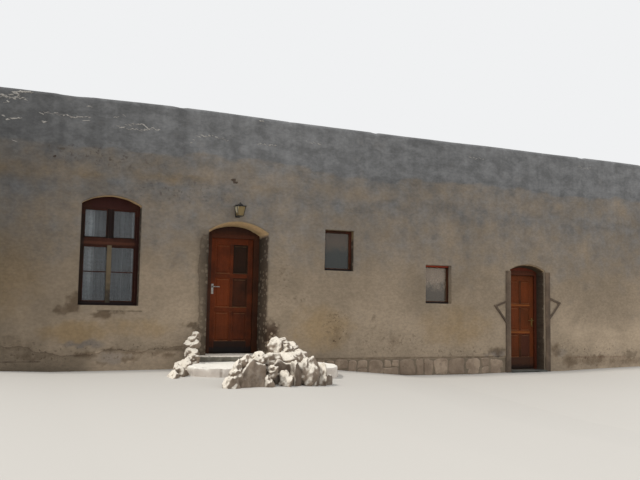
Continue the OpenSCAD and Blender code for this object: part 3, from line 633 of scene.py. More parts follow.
class Finish:
    """A named material; its nodes are laid out once, when a piece first needs it."""

    name: str
    slot: str
    zones: tuple[Zone, ...] = ()

    def material(self) -> bpy.types.Material:
        """The material, made on the first call and found by its name afterwards.

        Returns:
            The material.
        """
        found = bpy.data.materials.get(self.name)
        if found:
            return found
        made = bpy.data.materials.new(self.name)
        made.use_nodes = True
        tree = made.node_tree
        tree.nodes.clear()
        graph, shader = Graph(tree), tree.nodes.new("ShaderNodeBsdfPrincipled")
        graph.add("OutputMaterial", {0: shader.outputs[0]})
        graph.feed(shader, self.lay(graph))
        return made

    def lay(self, g: Graph) -> dict[str, Any]:
        """Lay out the nodes; what comes back goes into the shader's sockets."""
        raise NotImplementedError

    def zoned(self, g: Graph, where: Any, colour: Any) -> Any:
        """A colour with the zones of the finish laid over it, which reach from the wall face to the frames.

        Args:
            g: Graph of the material.
            where: Object coordinates.
            colour: Colour below the zones.

        Returns:
            Colour with the zones.
        """
        return g.over(colour, *((z.colour, g.add("Group", {
            "Vector": where, "Middle": (z.at[0], -2.5, z.at[1]), "Half": (z.half[0], 0.8, z.half[1]),
            "Soft": z.soft}, node_tree=zone_group())[0], z.amount) for z in self.zones))

    def mineral(self, g: Graph, where: Any, scale: float) -> Any:
        """The outputs of the mottle group at a given scale."""
        return g.add("Group", {"Vector": where, "Scale": scale}, node_tree=mottle_group())

    def dusted_and_sunlit(self, g: Graph, where: Any, lying: float, veil: float) -> Any:
        """The mask of the dust group: dust, and painted sunlight on faces that look up."""
        return g.add("Group", {"Vector": where, "Lying": lying, "Veil": veil}, node_tree=dust_and_sun_group())[0]


@dataclass(frozen=True)
class AdobePlaster(Finish):
    """Mud plaster in tan and grey-brown, with grey render over the parapet, stains near its foot, and painted shade
    and light.
    """

    name: str = "adobe plaster"
    slot: str = "plaster"
    deep: tuple = (133, 119, 101)
    tan: tuple = (152, 136, 116)
    ochre: tuple = (140, 118, 86)
    render: tuple = (124, 124, 124)
    render_deep: tuple = (104, 104, 104)
    damp: tuple = (88, 76, 62)
    soot: tuple = (66, 51, 40)
    violet: tuple = (112, 106, 101)
    pebble: tuple = (150, 134, 114)
    brown: tuple = (90, 74, 57)
    zones: tuple = (
        Zone((-4.4, 1.145), (0.44, 0.026), (150, 134, 112), 0.35, 0.02),
        # Painted shadow under window 1's sill, then a brown stain under it
        Zone((-4.25, 1.102), (0.34, 0.007), (74, 62, 50), 0.6, 0.02),
        Zone((-4.28, 1.07), (0.12, 0.02), (86, 72, 56), 0.6, 0.05),
        # Painted shadow lines under the plaster's edge over the plinth
        Zone((-5.68, 0.335), (0.3, 0.008), (72, 58, 50), 0.5, 0.02),
        Zone((2.6, 0.325), (0.42, 0.007), (70, 58, 50), 0.6, 0.02),
        Zone((0.9, 0.322), (1.9, 0.006), (84, 66, 54), 0.5, 0.02),
        Zone((5.4, 0.3), (0.75, 0.008), (92, 66, 52), 0.5, 0.05))

    def lay(self, g: Graph) -> dict[str, Any]:
        """Tan over deep by clouds, then the stains by the mesh's values, whose edges are torn by noise, with
        painted shade and light.

        Args:
            g: Graph of the material.

        Returns:
            What goes into the shader's sockets, by name.
        """
        where = g.place()
        m = self.mineral(g, where, 0.9)
        broad = self.mineral(g, g.stretched(where, (1, 1, 1.6)), 3.1)
        streak = g.noise(g.stretched(where, (0.8, 0.8, 7.0)), 2.2, 6, 0.68)
        torn = g.minus(g.noise(where, 8, 7, 0.72), 0.5)
        fray = g.minus(g.noise(where, 3, 5, 0.6), 0.5)

        def soft(label: str) -> Any:
            """A value of the mesh with a wide, cloudy edge."""
            return g.step(g.plus(g.value(label), g.times(fray, 0.9), g.times(torn, 0.3)), 0.05, 0.95)

        def crisp(label: str) -> tuple[Any, Any]:
            """A value of the mesh cut at a half along a torn line: how far inside, and a band over the line.

            Args:
                label: Name of the value.

            Returns:
                Both masks.
            """
            moved = g.plus(g.value(label), g.times(torn, 0.8))
            inside = g.times(g.step(moved, 0.44, 0.56), g.plus(0.55, g.times(streak, 0.8)))
            return inside, g.step(g.minus(0.10, g.math("ABSOLUTE", g.minus(moved, 0.47))), 0.0, 0.08)

        veil, pebbled = soft("render"), g.value("pebbled")
        (damp, damp_line), (fallen, fallen_edge_shadow) = crisp("damp"), crisp("fallen")
        stain = g.step(g.plus(g.value("brown"), torn, g.times(fray, 0.7)), 0.12, 0.95)
        pale = g.add("Group", {"Vector": where}, node_tree=pebble_group())[0]
        flecks = g.step(g.noise(where, 17, 5, 0.66), 0.565, 0.63)
        base = g.over(g.blend(m["Clouds"], self.deep, self.tan), (self.ochre, soft("ochre"), 0.8),
                      (self.violet, soft("violet"), 0.8))
        base = g.blend(veil, base, g.blend(broad["Clouds"], self.render_deep, self.render))
        base = g.over(
            base, (self.brown, stain, 0.8), (self.damp, damp, 0.62), (self.damp, fallen, 0.3),
            # Painted shadow along the edge of the fallen coat
            (self.soot, fallen_edge_shadow, 0.4), (self.soot, damp_line, 0.12),
            (self.soot, g.times(pebbled, g.minus(1.0, pale)), 0.75), (self.pebble, g.times(pebbled, pale), 0.65),
            (self.soot, flecks, g.value("flecked")), (self.soot, crisp("soot")[0], 0.85))
        runs = g.minus(g.noise(g.stretched(where, (5.5, 5.5, 0.5)), 1.0, 5, 0.6), 0.5)
        shade = g.plus(0.72, g.times(m["Grit"], 0.12), g.times(broad["Patches"], 0.16), g.times(streak, 0.15),
                       g.times(runs, 0.5, g.plus(veil, 0.15)))
        tint = g.add("CombineColor", dict.fromkeys(range(3), g.times(shade, g.value("light"))))[0]
        return {"Base Color": g.blend(1.0, self.zoned(g, where, base), tint, "MULTIPLY"), "Roughness": 0.95,
                "Specular IOR Level": 0.2,
                "Normal": g.bump(g.plus(m["Height"], g.times(pale, pebbled, 1.6)), 0.005)}


@dataclass(frozen=True)
class Stone(Finish):
    """Natural stone: two tones in clouds, dark pits, painted shade by the mesh's shade value, pale dust and painted
    sunlight on top.
    """

    name: str = "pale stone"
    slot: str = "pale_stone"
    dark: tuple = (118, 102, 86)
    light: tuple = (160, 143, 125)
    pit: tuple = (70, 56, 45)
    # Colour of the dust, which also paints the sunlight on faces that look up and to the left
    dust: tuple = (224, 215, 200)
    lying: float = 1.0
    veil: float = 0.16
    scale: float = 2.4
    depth: float = 0.012
    grooved: float = 0.0

    def lay(self, g: Graph) -> dict[str, Any]:
        """Clouds between the two tones, pits where the noise is deep, painted shade by the mesh's shade value, dust
        and painted sunlight by the faces that look up.

        Args:
            g: Graph of the material.

        Returns:
            What goes into the shader's sockets, by name.
        """
        where = g.place()
        m = self.mineral(g, where, self.scale)
        hollow = g.step(g.noise(where, 17, 5, 0.7), 0.60, 0.70)
        groove = g.step(g.noise(g.stretched(where, (14, 14, 1.8)), 1.0, 5, 0.65), 0.46, 0.62)
        base = g.over(
            g.blend(m["Clouds"], self.dark, self.light), (self.dark, m["Patches"], 0.5), (self.pit, hollow, 0.75),
            (self.pit, groove, self.grooved), (self.pit, g.value("shade"), 0.8),
            (self.dust, self.dusted_and_sunlit(g, where, self.lying, self.veil), 1.0))
        return {"Base Color": base, "Roughness": 0.92,
                "Normal": g.bump(g.minus(m["Height"], g.times(hollow, 0.5)), self.depth)}


@dataclass(frozen=True)
class PackedEarth(Finish):
    """Trodden or packed earth with small stones."""

    name: str = "packed earth"
    slot: str = "earth"
    dark: tuple = (112, 96, 78)
    light: tuple = (158, 139, 114)
    grit: tuple = (196, 184, 164)

    def lay(self, g: Graph) -> dict[str, Any]:
        """Clouds between two earth tones with pale specks of 6 mm.

        Args:
            g: Graph of the material.

        Returns:
            What goes into the shader's sockets, by name.
        """
        where = g.place()
        m = self.mineral(g, where, 1.4)
        speck = g.step(g.minus(0.3, g.cells(where, 70)[0]), 0.0, 0.15)
        base = g.over(g.blend(m["Clouds"], self.dark, self.light), (self.grit, speck, m["Patches"]))
        return {"Base Color": base, "Roughness": 0.97, "Normal": g.bump(m["Height"], 0.02)}


class Run(Enum):
    """The axis that the grain of a wooden piece follows."""

    ALONG_X = (0.06, 1.0, 1.0)
    ALONG_Y = (1.0, 0.06, 1.0)
    ALONG_Z = (1.0, 1.0, 0.06)
    BY_PIECE = (1.0, 1.0, 1.0)


@dataclass(frozen=True)
class Wood(Finish):
    """Stained or bare wood. The mesh may carry tone (0 dark to 1 light), worn (pale edges from wear, and painted
    highlights) and grey.
    """

    name: str = "door wood"
    slot: str = "door_wood"
    dark: tuple = (29, 16, 9)
    mid: tuple = (72, 36, 18)
    light: tuple = (136, 60, 23)
    rubbed_and_highlit: tuple = (140, 98, 60)
    grey: tuple = (36, 36, 35)
    dust: tuple = (146, 112, 78)
    run: Run = Run.BY_PIECE
    even_tone: float = 0.5
    gloss: float = 0.6
    dusty: float = 0.03
    depth: float = 0.0012
    zones: tuple = ()

    def lay(self, g: Graph) -> dict[str, Any]:
        """Dark to light by the tone, mid by the figure, dark pores, pale worn edges with painted highlights, a veil
        of dust, and dust with painted sunlight on faces that look up.

        Args:
            g: Graph of the material.

        Returns:
            What goes into the shader's sockets, by name.
        """
        where = g.place()
        clouds = g.step(g.noise(where, 3.2, 4, 0.6), 0.3, 0.7)
        marks = []
        if self.run is Run.BY_PIECE:
            along = g.stretched(g.map("grain"), Run.ALONG_Y.value)
            tone = g.math("ADD", g.value("tone"), g.times(g.minus(clouds, 0.5), 0.3), clamp=True)
            marks = [(self.rubbed_and_highlit, g.value("worn"), 0.8), (self.grey, g.value("grey"), 0.7)]
        else:
            along = g.stretched(where, self.run.value)
            tone = g.math("ADD", g.times(clouds, 0.4), self.even_tone - 0.2, clamp=True)
        grain = g.add("Group", {"Vector": along}, node_tree=grain_group())
        base = g.over(g.blend(tone, self.dark, self.light), (self.mid, grain["Figure"], 0.22),
                      (self.dark, grain["Pores"], 0.5), *marks)
        dust = self.dusted_and_sunlit(g, where, 0.7, self.dusty)
        return {"Base Color": g.over(self.zoned(g, where, base), (self.dust, dust, 0.45)),
                "Roughness": g.math("ADD", self.gloss, g.times(grain["Figure"], 0.15), clamp=True),
                "Specular IOR Level": 0.12, "Normal": g.bump(grain["Height"], self.depth)}


@dataclass(frozen=True)
class Metal(Finish):
    """Metal with cloudy tarnish or rust."""

    name: str = "dull steel"
    slot: str = "steel"
    bare: tuple = (160, 158, 153)
    tarnish: tuple = (98, 91, 82)
    metallic: float = 0.9
    roughness: float = 0.32
    spread: float = 0.45

    def lay(self, g: Graph) -> dict[str, Any]:
        """Tarnish over the bare metal where noise of 20 mm is high; rougher there.

        Args:
            g: Graph of the material.

        Returns:
            What goes into the shader's sockets, by name.
        """
        where = g.place()
        cloud = g.step(g.noise(where, 55, 6, 0.7, 0.5), self.spread, self.spread + 0.25)
        return {"Base Color": g.blend(cloud, self.bare, self.tarnish), "Metallic": self.metallic,
                "Roughness": g.math("ADD", self.roughness, g.times(cloud, 0.35), clamp=True),
                "Normal": g.bump(g.plus(g.noise(where, 700, 2, 0.6), g.times(cloud, 0.5)), 0.0006)}


@dataclass(frozen=True)
class Glass(Finish):
    """Old window glass with dust and a slight ripple; tint is its colour in the thickness."""

    name: str = "window glass"
    slot: str = "window_glass"
    tint: tuple = (224, 228, 230)
    dust: tuple = (160, 158, 152)
    veil: float = 0.5
    through: float = 1.0
    ripple: float = 0.0008
    zones: tuple = ()

    def lay(self, g: Graph) -> dict[str, Any]:
        """The tint with patches of dust, rougher where the dust lies, rippled by noise of 120 mm.

        Args:
            g: Graph of the material.

        Returns:
            What goes into the shader's sockets, by name.
        """
        where = g.place()
        dust = g.step(g.noise(where, 9, 6, 0.72), 0.45, 0.85)
        return {"Base Color": self.zoned(g, where, g.blend(g.times(dust, self.veil), self.tint, self.dust)),
                "Roughness": g.plus(0.03, g.times(dust, 0.25)), "Transmission Weight": self.through, "IOR": 1.45,
                "Normal": g.bump(g.noise(where, 8, 2, 0.5), self.ripple)}


@dataclass(frozen=True)
class Net(Finish):
    """Thin net cloth: a weave of 3 mm with floral spots, let through by its alpha; painted shade in its folds and a
    darker foot.
    """

    name: str = "net curtain"
    slot: str = "net"
    thread: tuple = (222, 225, 229)
    shade: tuple = (172, 176, 180)
    # Colour of the painted shade in the folds
    grey: tuple = (84, 88, 91)
    foot: tuple = (66, 73, 78)
    weave: float = 1050.0

    def lay(self, g: Graph) -> dict[str, Any]:
        """Two crossed waves along the cloth's own map give the weave; spots of denser thread 60 mm apart.

        Args:
            g: Graph of the material.

        Returns:
            What goes into the shader's sockets, by name.
        """
        where = g.map("cloth")
        parts = g.add("SeparateXYZ", {0: where})
        waves = (g.math("ABSOLUTE", g.math("SINE", g.times(parts[k], self.weave))) for k in (0, 1))
        mesh = g.math("MAXIMUM", *waves)
        spots = g.step(g.minus(0.5, g.cells(where, 15, 0.3)[0]), 0.12, 0.3)
        cloth = g.over(g.blend(g.times(mesh, 0.7), self.shade, self.thread), (self.grey, g.value("fold"), 0.85),
                       (self.foot, g.value("foot"), 0.6))
        return {"Alpha": g.math("ADD", g.times(mesh, 0.35), g.plus(0.55, g.times(spots, 0.2)), clamp=True),
                "Base Color": cloth, "Roughness": 0.9, "Normal": g.bump(mesh, 0.0006)}


PLASTER = AdobePlaster()
PALE_STONE = Stone(grooved=0.35)
# Stone of the top step, in darker tones that paint the shade over it
SHADED_STEP_STONE = Stone(name="shaded step stone", dark=(95, 91, 80), light=(124, 118, 104), pit=(66, 60, 52), scale=1.3)
# Stone of the lower step and the foot slab, in light tones that paint the sunlight on them
SUNLIT_SLAB_STONE = Stone(name="sunlit slab stone", dark=(204, 193, 181), light=(234, 226, 217), pit=(140, 126, 112),
    dust=(238, 233, 222))
PLINTH_STONE = Stone(name="plinth rubble", slot="rubble", dark=(134, 116, 98), light=(170, 151, 130),
    pit=(92, 75, 60), dust=(172, 154, 130), lying=0.15, veil=0.2, scale=3, depth=0.01)
EARTH = PackedEarth()
DOOR_WOOD = Wood(zones=(
    Zone((-2.185, 2.005), (0.13, 0.25), (37, 24, 15), 0.85, 0.008),
    Zone((-2.185, 1.435), (0.13, 0.25), (49, 28, 16), 0.6, 0.008),
    Zone((-2.495, 1.435), (0.13, 0.25), (96, 44, 17), 0.45, 0.008),
    Zone((-2.495, 0.865), (0.13, 0.25), (84, 43, 19), 0.35, 0.008),
    Zone((-2.34, 0.5), (0.4, 0.14), (38, 25, 18), 0.6, 0.1),
    Zone((-2.34, 0.43), (0.4, 0.085), (27, 26, 26), 0.85, 0.06),
    Zone((3.63, 1.05), (0.36, 1), (98, 60, 30), 0.25, 0.02),
    Zone((3.76, 0.52), (0.105, 0.23), (66, 38, 31), 0.65, 0.012),
    Zone((3.63, 0.19), (0.34, 0.11), (70, 44, 32), 0.75, 0.02),
    Zone((3.63, 0.09), (0.34, 0.05), (26, 22, 21), 0.8, 0.08),
    # Painted highlights along the top edges of door 2's middle rails
    Zone((3.63, 1.325), (0.24, 0.011), (146, 88, 42), 0.7, 0.006),
    Zone((3.63, 0.79), (0.24, 0.011), (146, 88, 42), 0.7, 0.006)))
FRAME_WOOD = Wood(name="frame wood", slot="frame_wood", dark=(34, 20, 13), mid=(52, 29, 18), light=(82, 45, 26),
    run=Run.ALONG_Z, even_tone=0.4, gloss=0.55, zones=(
    Zone((-2.34, 2.395), (0.375, 0.038), (74, 38, 23), 0.85, 0.006),
    Zone((-2.34, 2.55), (0.6, 0.08), (42, 23, 17), 0.6, 0.06),
    Zone((3.63, 1.97), (0.32, 0.042), (80, 42, 26), 0.85, 0.006),
    # Painted highlight on the rim of door 2's arch board
    Zone((3.63, 2.07), (0.4, 0.055), (96, 40, 24), 0.8, 0.02),
    Zone((3.99, 1), (0.05, 1), (80, 34, 21), 0.7, 0.02),
    Zone((1.562, 2.02), (0.29, 0.017), (156, 62, 42), 0.85, 0.006),
    Zone((1.562, 1.33), (0.29, 0.02), (30, 30, 32), 0.85, 0.008),
    Zone((-0.495, 1.87), (0.29, 0.02), (30, 31, 33), 0.85, 0.008),
    Zone((-0.27, 2.3), (0.06, 0.3), (80, 40, 28), 0.6, 0.02)))
WINDOW_WOOD = Wood(name="window wood", slot="frame_wood", dark=(30, 17, 12), mid=(46, 25, 17),
    light=(78, 40, 27), run=Run.ALONG_Z, even_tone=0.4, gloss=0.55, zones=(
    Zone((-4.426, 2.47), (0.055, 0.23), (20, 14, 13), 0.85, 0.015),
    # Painted highlight along the transom
    Zone((-4.43, 2.16), (0.42, 0.022), (78, 46, 33), 0.6, 0.014),
    # Painted shadow under the upper sashes
    Zone((-4.43, 2.262), (0.4, 0.018), (18, 14, 13), 0.85, 0.01),
    Zone((-4.43, 1.2), (0.46, 0.045), (22, 22, 25), 0.8, 0.02),
    Zone((-4.86, 1.8), (0.045, 0.8), (24, 20, 14), 0.7, 0.02),
    Zone((-4, 1.8), (0.04, 0.8), (38, 14, 12), 0.75, 0.02),
    Zone((-4.43, 2.8), (0.3, 0.1), (48, 19, 18), 0.6, 0.06)))
BARE_WOOD = Wood(name="bare strip wood", slot="bare_wood", dark=(66, 58, 46), mid=(88, 78, 62),
    light=(112, 100, 80), run=Run.ALONG_Z, even_tone=0.6, gloss=0.8, zones=(
    Zone((-4.4, 1.25), (0.1, 0.2), (38, 37, 37), 0.75, 0.2),))
ROOF_TIMBER = Wood(name="roof timber", slot="timber", dark=(72, 54, 38), mid=(102, 78, 54),
    light=(138, 110, 78), run=Run.ALONG_Y, even_tone=0.5, gloss=0.85)
ROOF_BOARD = Wood(name="roof board", slot="timber", dark=(78, 60, 42), mid=(110, 86, 60), light=(142, 114, 82),
    run=Run.ALONG_X, even_tone=0.5, gloss=0.85)
STEEL = Metal()
IRON = Metal(name="blackened iron", slot="iron", bare=(38, 36, 35), tarnish=(70, 50, 38), metallic=0.6,
    roughness=0.5, spread=0.55)
WINDOW_GLASS = Glass()
AMBER_GLASS = Glass(name="amber glass", slot="amber_glass", tint=(134, 114, 72), dust=(150, 132, 92), veil=0.7,
    through=0.35, zones=(
    # Painted light on the lantern's left pane
    Zone((-2.5, 2.78), (0.055, 0.12), (210, 202, 174), 0.9, 0.01),))
SMALL_GLASS = Glass(name="dusty window glass", tint=(196, 178, 158), dust=(190, 176, 158), through=0.66, zones=(
    # Painted reflections in the glass of the two small windows of the front
    Zone((1.562, 1.46), (0.32, 0.2), (112, 105, 94), 0.8, 0.25),
    Zone((-0.495, 2.22), (0.32, 0.42), (98, 84, 70), 0.8, 0.02),
    Zone((-0.495, 1.98), (0.32, 0.27), (70, 80, 78), 0.85, 0.2)))
BRASS = Metal(name="dull brass", slot="steel", bare=(132, 106, 58), tarnish=(70, 54, 36), metallic=0.7,
    roughness=0.4)
NET = Net()
BAND_RENDER = Stone(name="band render", slot="weathered_render", dark=(86, 71, 57), light=(118, 99, 81),
    pit=(58, 48, 40), dust=(134, 118, 98), lying=0.5, veil=0.2, scale=2, depth=0.005)
LIME = Stone(name="lime flakes", slot="plaster", dark=(128, 124, 119), light=(176, 171, 163),
    pit=(104, 100, 96), dust=(190, 185, 176), lying=0.3, veil=0.1, scale=9, depth=0.002)
# Dark stone of door 2's sill; its dark tones also paint the shade over it
SILL_STONE = Stone(name="sill stone", slot="rubble", dark=(50, 50, 46), light=(72, 72, 66), pit=(34, 34, 31),
    dust=(104, 102, 94), lying=0.4, veil=0.1, scale=4, depth=0.006)


# ---------------------------------------------------------------- walls


@dataclass(frozen=True)
class HousePlan:
    """Main sizes of the house in metres, as the frame has them."""

    left: float = -7.2
    right: float = 7.2
    front: float = -2.6
    rear: float = 2.6
    wall: float = 0.6
    wall_top: float = 3.5
    top: float = 4.42
    parapet: float = 0.38
    worn: float = 0.06
    plinth: float = 0.315
    plinth_back: float = 0.015
    corner: float = 0.045


PLAN = HousePlan()


@dataclass(frozen=True)
class Opening:
    """An opening through a wall, seen from outside; its head is a segmental arch where rise is above 0."""

    middle: float
    width: float
    low: float
    crown: float
    recess: float
    rise: float = 0.0
    flare: float = 0.0
    worn: float = 0.012

    def half(self, t: float) -> float:
        """Half width at t, which runs from 0 at the wall face to 1 at the frame."""
        return self.width / 2 + self.flare * (1 - t)

    def radius(self, t: float) -> float:
        """Radius of the arch at t: (chord^2 / 4 + rise^2) / (2 rise), plus the flare."""
        return (self.width**2 / 4 + self.rise**2) / (2 * self.rise) + self.flare * (1 - t)

    @property
    def centre(self) -> float:
        """Height of the arch's centre."""
        return self.crown - self.radius(1.0)

    def head(self, across: np.ndarray, t: float) -> np.ndarray:
        """Height of the head at a distance across from the middle: the circle, or the flat crown.

        Args:
            across: Distances from the middle.
            t: 0 at the wall face to 1 at the frame.

        Returns:
            Heights.
        """
        across = np.asarray(across, float)
        if self.rise <= 0:
            return np.full(across.shape, self.crown)
        return self.centre + np.sqrt(np.maximum(self.radius(t) ** 2 - across**2, 0))

    def spring(self, t: float) -> float:
        """Height at which the head starts."""
        return float(self.head(np.array(self.half(t)), t))

    def distance(self, along: np.ndarray, z: np.ndarray) -> np.ndarray:
        """Signed distance to the outline at the wall face: below 0 inside, about metres outside.

        Args:
            along: Places along the wall.
            z: Their heights.

        Returns:
            Distances.
        """
        side = np.abs(along - self.middle) - self.half(0)
        top = z - self.crown
        if self.rise > 0:
            top = np.hypot(along - self.middle, z - self.centre) - self.radius(0)
        tall = np.maximum(self.low - z, top)
        outside = np.hypot(np.maximum(side, 0), np.maximum(tall, 0))
        return np.where((side > 0) | (tall > 0), outside, np.maximum(side, tall))


DOORWAY_1 = Opening(-2.34, 0.95, 0.345, 2.57, 0.35, 0.147, 0.05, 0.022)
DOORWAY_2 = Opening(3.63, 0.752, 0.03, 2.08, 0.20, 0.09, 0.05, 0.014)
WINDOW_1 = Opening(-4.426, 0.915, 1.185, 2.9, 0.15, 0.135, 0.0, 0.016)
SMALL_FRONT = (Opening(-0.495, 0.56, 1.86, 2.575, 0.10), Opening(1.562, 0.56, 1.32, 2.035, 0.10))
SMALL_REAR = (Opening(-4.2, 0.56, 1.86, 2.575, 0.10), Opening(2.6, 0.56, 1.45, 2.165, 0.10))
FRONT_OPENINGS = (WINDOW_1, DOORWAY_1, *SMALL_FRONT, DOORWAY_2)

COAT_EDGE = np.array([[-7.2, 0.52], [-5.94, 0.56], [-5.37, 0.48], [-4.95, 0.43], [-4.6, 0.46], [-4.28, 0.54],
    [-3.96, 0.47], [-3.75, 0.5], [-3.25, 0.55], [-2.9, 0.42], [-1.6, 0.4], [-1.3, 0.36], [-0.8, 0.33],
    [7.2, 0.33]])
RENDER_EDGE = np.array([[-7.2, 3.64], [-5.6, 3.64], [-4.4, 3.62], [-3.2, 3.66], [-2.2, 3.64], [-1.2, 3.58],
    [1, 3.56], [7.2, 3.58]])
# How much of the grey lies as a veil over the plaster below the lap, by height
VEIL = np.array([[0, 0], [1.5, 0.05], [1.8, 0.18], [2.05, 0.31], [2.4, 0.41], [2.75, 0.46], [3, 0.6],
    [3.1, 0.6], [3.22, 0.47], [3.35, 0.46], [3.5, 0.56], [3.6, 0.6], [4.5, 0.6]])
TINY = 1e-4
FACE_DEPTH = 0.05


def on_face(points: np.ndarray) -> np.ndarray:
    """Whether each point lies on the front face."""
    return points[:, 1] < PLAN.front + FACE_DEPTH


def blob(points: np.ndarray, x: float, z: float, wide: float, high: float) -> np.ndarray:
    """A soft spot on the front face: 1 in its middle and 0 past its ellipse, 1 - r^2 held above 0."""
    r2 = ((points[:, 0] - x) / wide) ** 2 + ((points[:, 2] - z) / high) ** 2
    return np.clip(1 - r2, 0, 1) * (points[:, 1] < PLAN.front + 0.3)


def wall_relief(points: np.ndarray) -> np.ndarray:
    """How far the plaster stands out from the true wall, in metres.

    Layers of noise give the hand-worked undulation: 8 mm over 1.9 m, 4 mm over 0.4 m, 2 mm over 0.12 m.
    The coat over the plinth has broken off up to a wavy line, and the grey render laps over the plaster.

    Args:
        points: Places on the true wall.

    Returns:
        Distance outwards for each point.
    """
    z, edge = points[:, 2], coat_edge(points)
    out = 0.008 * noise(points, 1.9, 3) + 0.004 * rough(points, 0.42, 2, seed=5)
    out += 0.0018 * rough(points, 0.12, 2, seed=9)
    out -= 0.013 * on_face(points) * smooth(edge - z, -0.012, 0.012) * smooth(edge, 0.34, 0.40)
    lap = np.interp(points[:, 0], *RENDER_EDGE.T) + 0.03 * noise(points, 0.45, 23)
    out += 0.004 * smooth(z - lap, -0.06, 0.06) - 0.012 * smooth(strip_beside_door(points), 0.42, 0.58)
    return out * (1.0 - 0.8 * blob(points, DOORWAY_2.middle, 1.0, 0.95, 1.8) ** 0.5)


# Marks on the front face, by the value that the plaster reads: middle, half width, half height, strength
MARKS: dict[str, tuple[tuple[float, ...], ...]] = {
    "damp": ((-3.12, 0.885, 0.11, 0.03, 1), (-3.07, 0.8, 0.05, 0.08, 0.9), (-1.74, 0.8, 0.16, 0.27, 0.6),
        (-0.6, 1.08, 0.13, 0.05, 0.6), (5.5, 0.3, 0.6, 0.08, 0.5), (6.3, 0.36, 0.4, 0.14, 0.6),
        (-5.24, 3.58, 0.1, 0.06, 0.7), (0.2, 0.95, 0.12, 0.3, 0.5)),
    "brown": ((-1.74, 0.66, 0.16, 0.3, 0.5), (-4.92, 1.24, 0.14, 0.22, 1), (-4.99, 1.13, 0.22, 0.11, 1),
        (-5.13, 1.09, 0.15, 0.06, 0.8), (-4.49, 1.03, 0.17, 0.08, 1), (-3.12, 0.88, 0.13, 0.05, 0.7),
        (-3.06, 0.77, 0.07, 0.12, 0.7), (-0.6, 1.08, 0.14, 0.06, 0.5), (-0.52, 0.76, 0.12, 0.26, 0.45),
        (-0.27, 0.72, 0.12, 0.1, 0.45), (-0.63, 0.68, 0.06, 0.1, 0.5), (4.33, 0.46, 0.18, 0.16, 0.8),
        (4.72, 0.22, 0.28, 0.18, 0.75), (5.3, 0.22, 0.8, 0.14, 0.6), (6.2, 0.2, 0.8, 0.16, 0.6),
        (2.9, 0.43, 0.26, 0.09, 0.75), (0.62, 0.6, 0.14, 0.2, 0.45), (-4.35, 0.5, 0.3, 0.07, 0.6),
        (-3.9, 0.46, 0.5, 0.05, 0.6), (-3.3, 0.52, 0.3, 0.05, 0.6), (-5.2, 0.42, 0.3, 0.07, 0.5),
        (-5.8, 0.6, 0.5, 0.2, 0.35), (-4.05, 0.35, 0.2, 0.05, 0.8), (-3.5, 0.4, 0.16, 0.06, 0.9),
        (-4.75, 0.43, 0.18, 0.06, 0.9), (-5.5, 0.4, 0.25, 0.06, 0.8), (-4.45, 0.31, 0.1, 0.06, 0.9),
        (-3.15, 0.36, 0.12, 0.07, 0.8)),
    "soot": ((-5.36, 3.42, 0.04, 0.03, 1), (-2.45, 3.28, 0.09, 0.045, 1), (-1.75, 3.56, 0.06, 0.035, 0.8),
        (-1.51, 1.39, 0.035, 0.03, 0.9), (-1.24, 1.71, 0.035, 0.025, 0.7), (-1.54, 1.96, 0.025, 0.035, 0.7),
        (-0.6, 1.12, 0.05, 0.03, 0.6), (-0.5, 1.06, 0.04, 0.03, 0.5), (-0.65, 0.94, 0.03, 0.05, 0.6),
        (-0.55, 0.81, 0.04, 0.06, 0.6), (-0.39, 0.79, 0.03, 0.05, 0.6), (-0.27, 0.72, 0.04, 0.03, 0.5),
        (-0.46, 0.5, 0.04, 0.08, 0.6), (-0.59, 0.66, 0.03, 0.06, 0.6), (0.6, 0.62, 0.02, 0.03, 0.7),
        (2.35, 1.86, 0.03, 0.03, 0.7), (5.1, 0.45, 0.03, 0.03, 0.8), (5.6, 0.35, 0.06, 0.02, 0.8)),
    "flecked": ((-1.28, 1.32, 0.22, 0.1, 0.9), (-1.5, 1.6, 0.2, 0.5, 0.45), (-0.5, 0.85, 0.32, 0.36, 0.8),
        (-0.66, 1.06, 0.2, 0.1, 0.9), (-3.8, 0.52, 0.8, 0.08, 0.8), (-4.6, 0.48, 1.6, 0.14, 0.6),
        (-5.5, 0.45, 0.9, 0.2, 0.7), (4.6, 0.45, 0.5, 0.25, 0.35), (5.8, 0.45, 1.2, 0.3, 0.4),
        (5.2, 0.25, 0.8, 0.16, 0.6), (-4.6, 3.5, 1.2, 0.2, 0.5), (-3.4, 3.05, 1, 0.25, 0.4),
        (0.6, 0.6, 1, 0.3, 0.4), (2, 0.42, 1.2, 0.12, 0.5)),
    "ochre": ((-3.4, 3.24, 0.7, 0.12, 0.9), (-4.74, 3.2, 0.45, 0.09, 0.8), (-1.9, 3.2, 0.6, 0.08, 0.7),
        (-4.9, 0.76, 0.6, 0.22, 0.9), (2, 0.9, 1, 0.5, 0.6), (-5.9, 1.6, 0.6, 0.8, 0.6),
        (-4, 0.85, 0.7, 0.2, 0.6), (-0.8, 0.85, 0.7, 0.5, 0.7), (-5.9, 3.2, 0.8, 0.16, 0.7)),
    "violet": ((-4.5, 3.02, 0.6, 0.12, 0.4), (-3.65, 3.1, 0.4, 0.06, 0.8), (-5.8, 2.95, 0.8, 0.2, 0.3),
        (2.88, 0.39, 0.28, 0.07, 0.9), (-4.8, 0.59, 0.45, 0.06, 0.8), (4.45, 0.4, 0.2, 0.12, 0.5),
        (-4.35, 0.4, 0.35, 0.12, 0.7), (-4.9, 3.42, 0.6, 0.1, 0.6), (-2.9, 2.9, 0.5, 0.3, 0.3)),
}
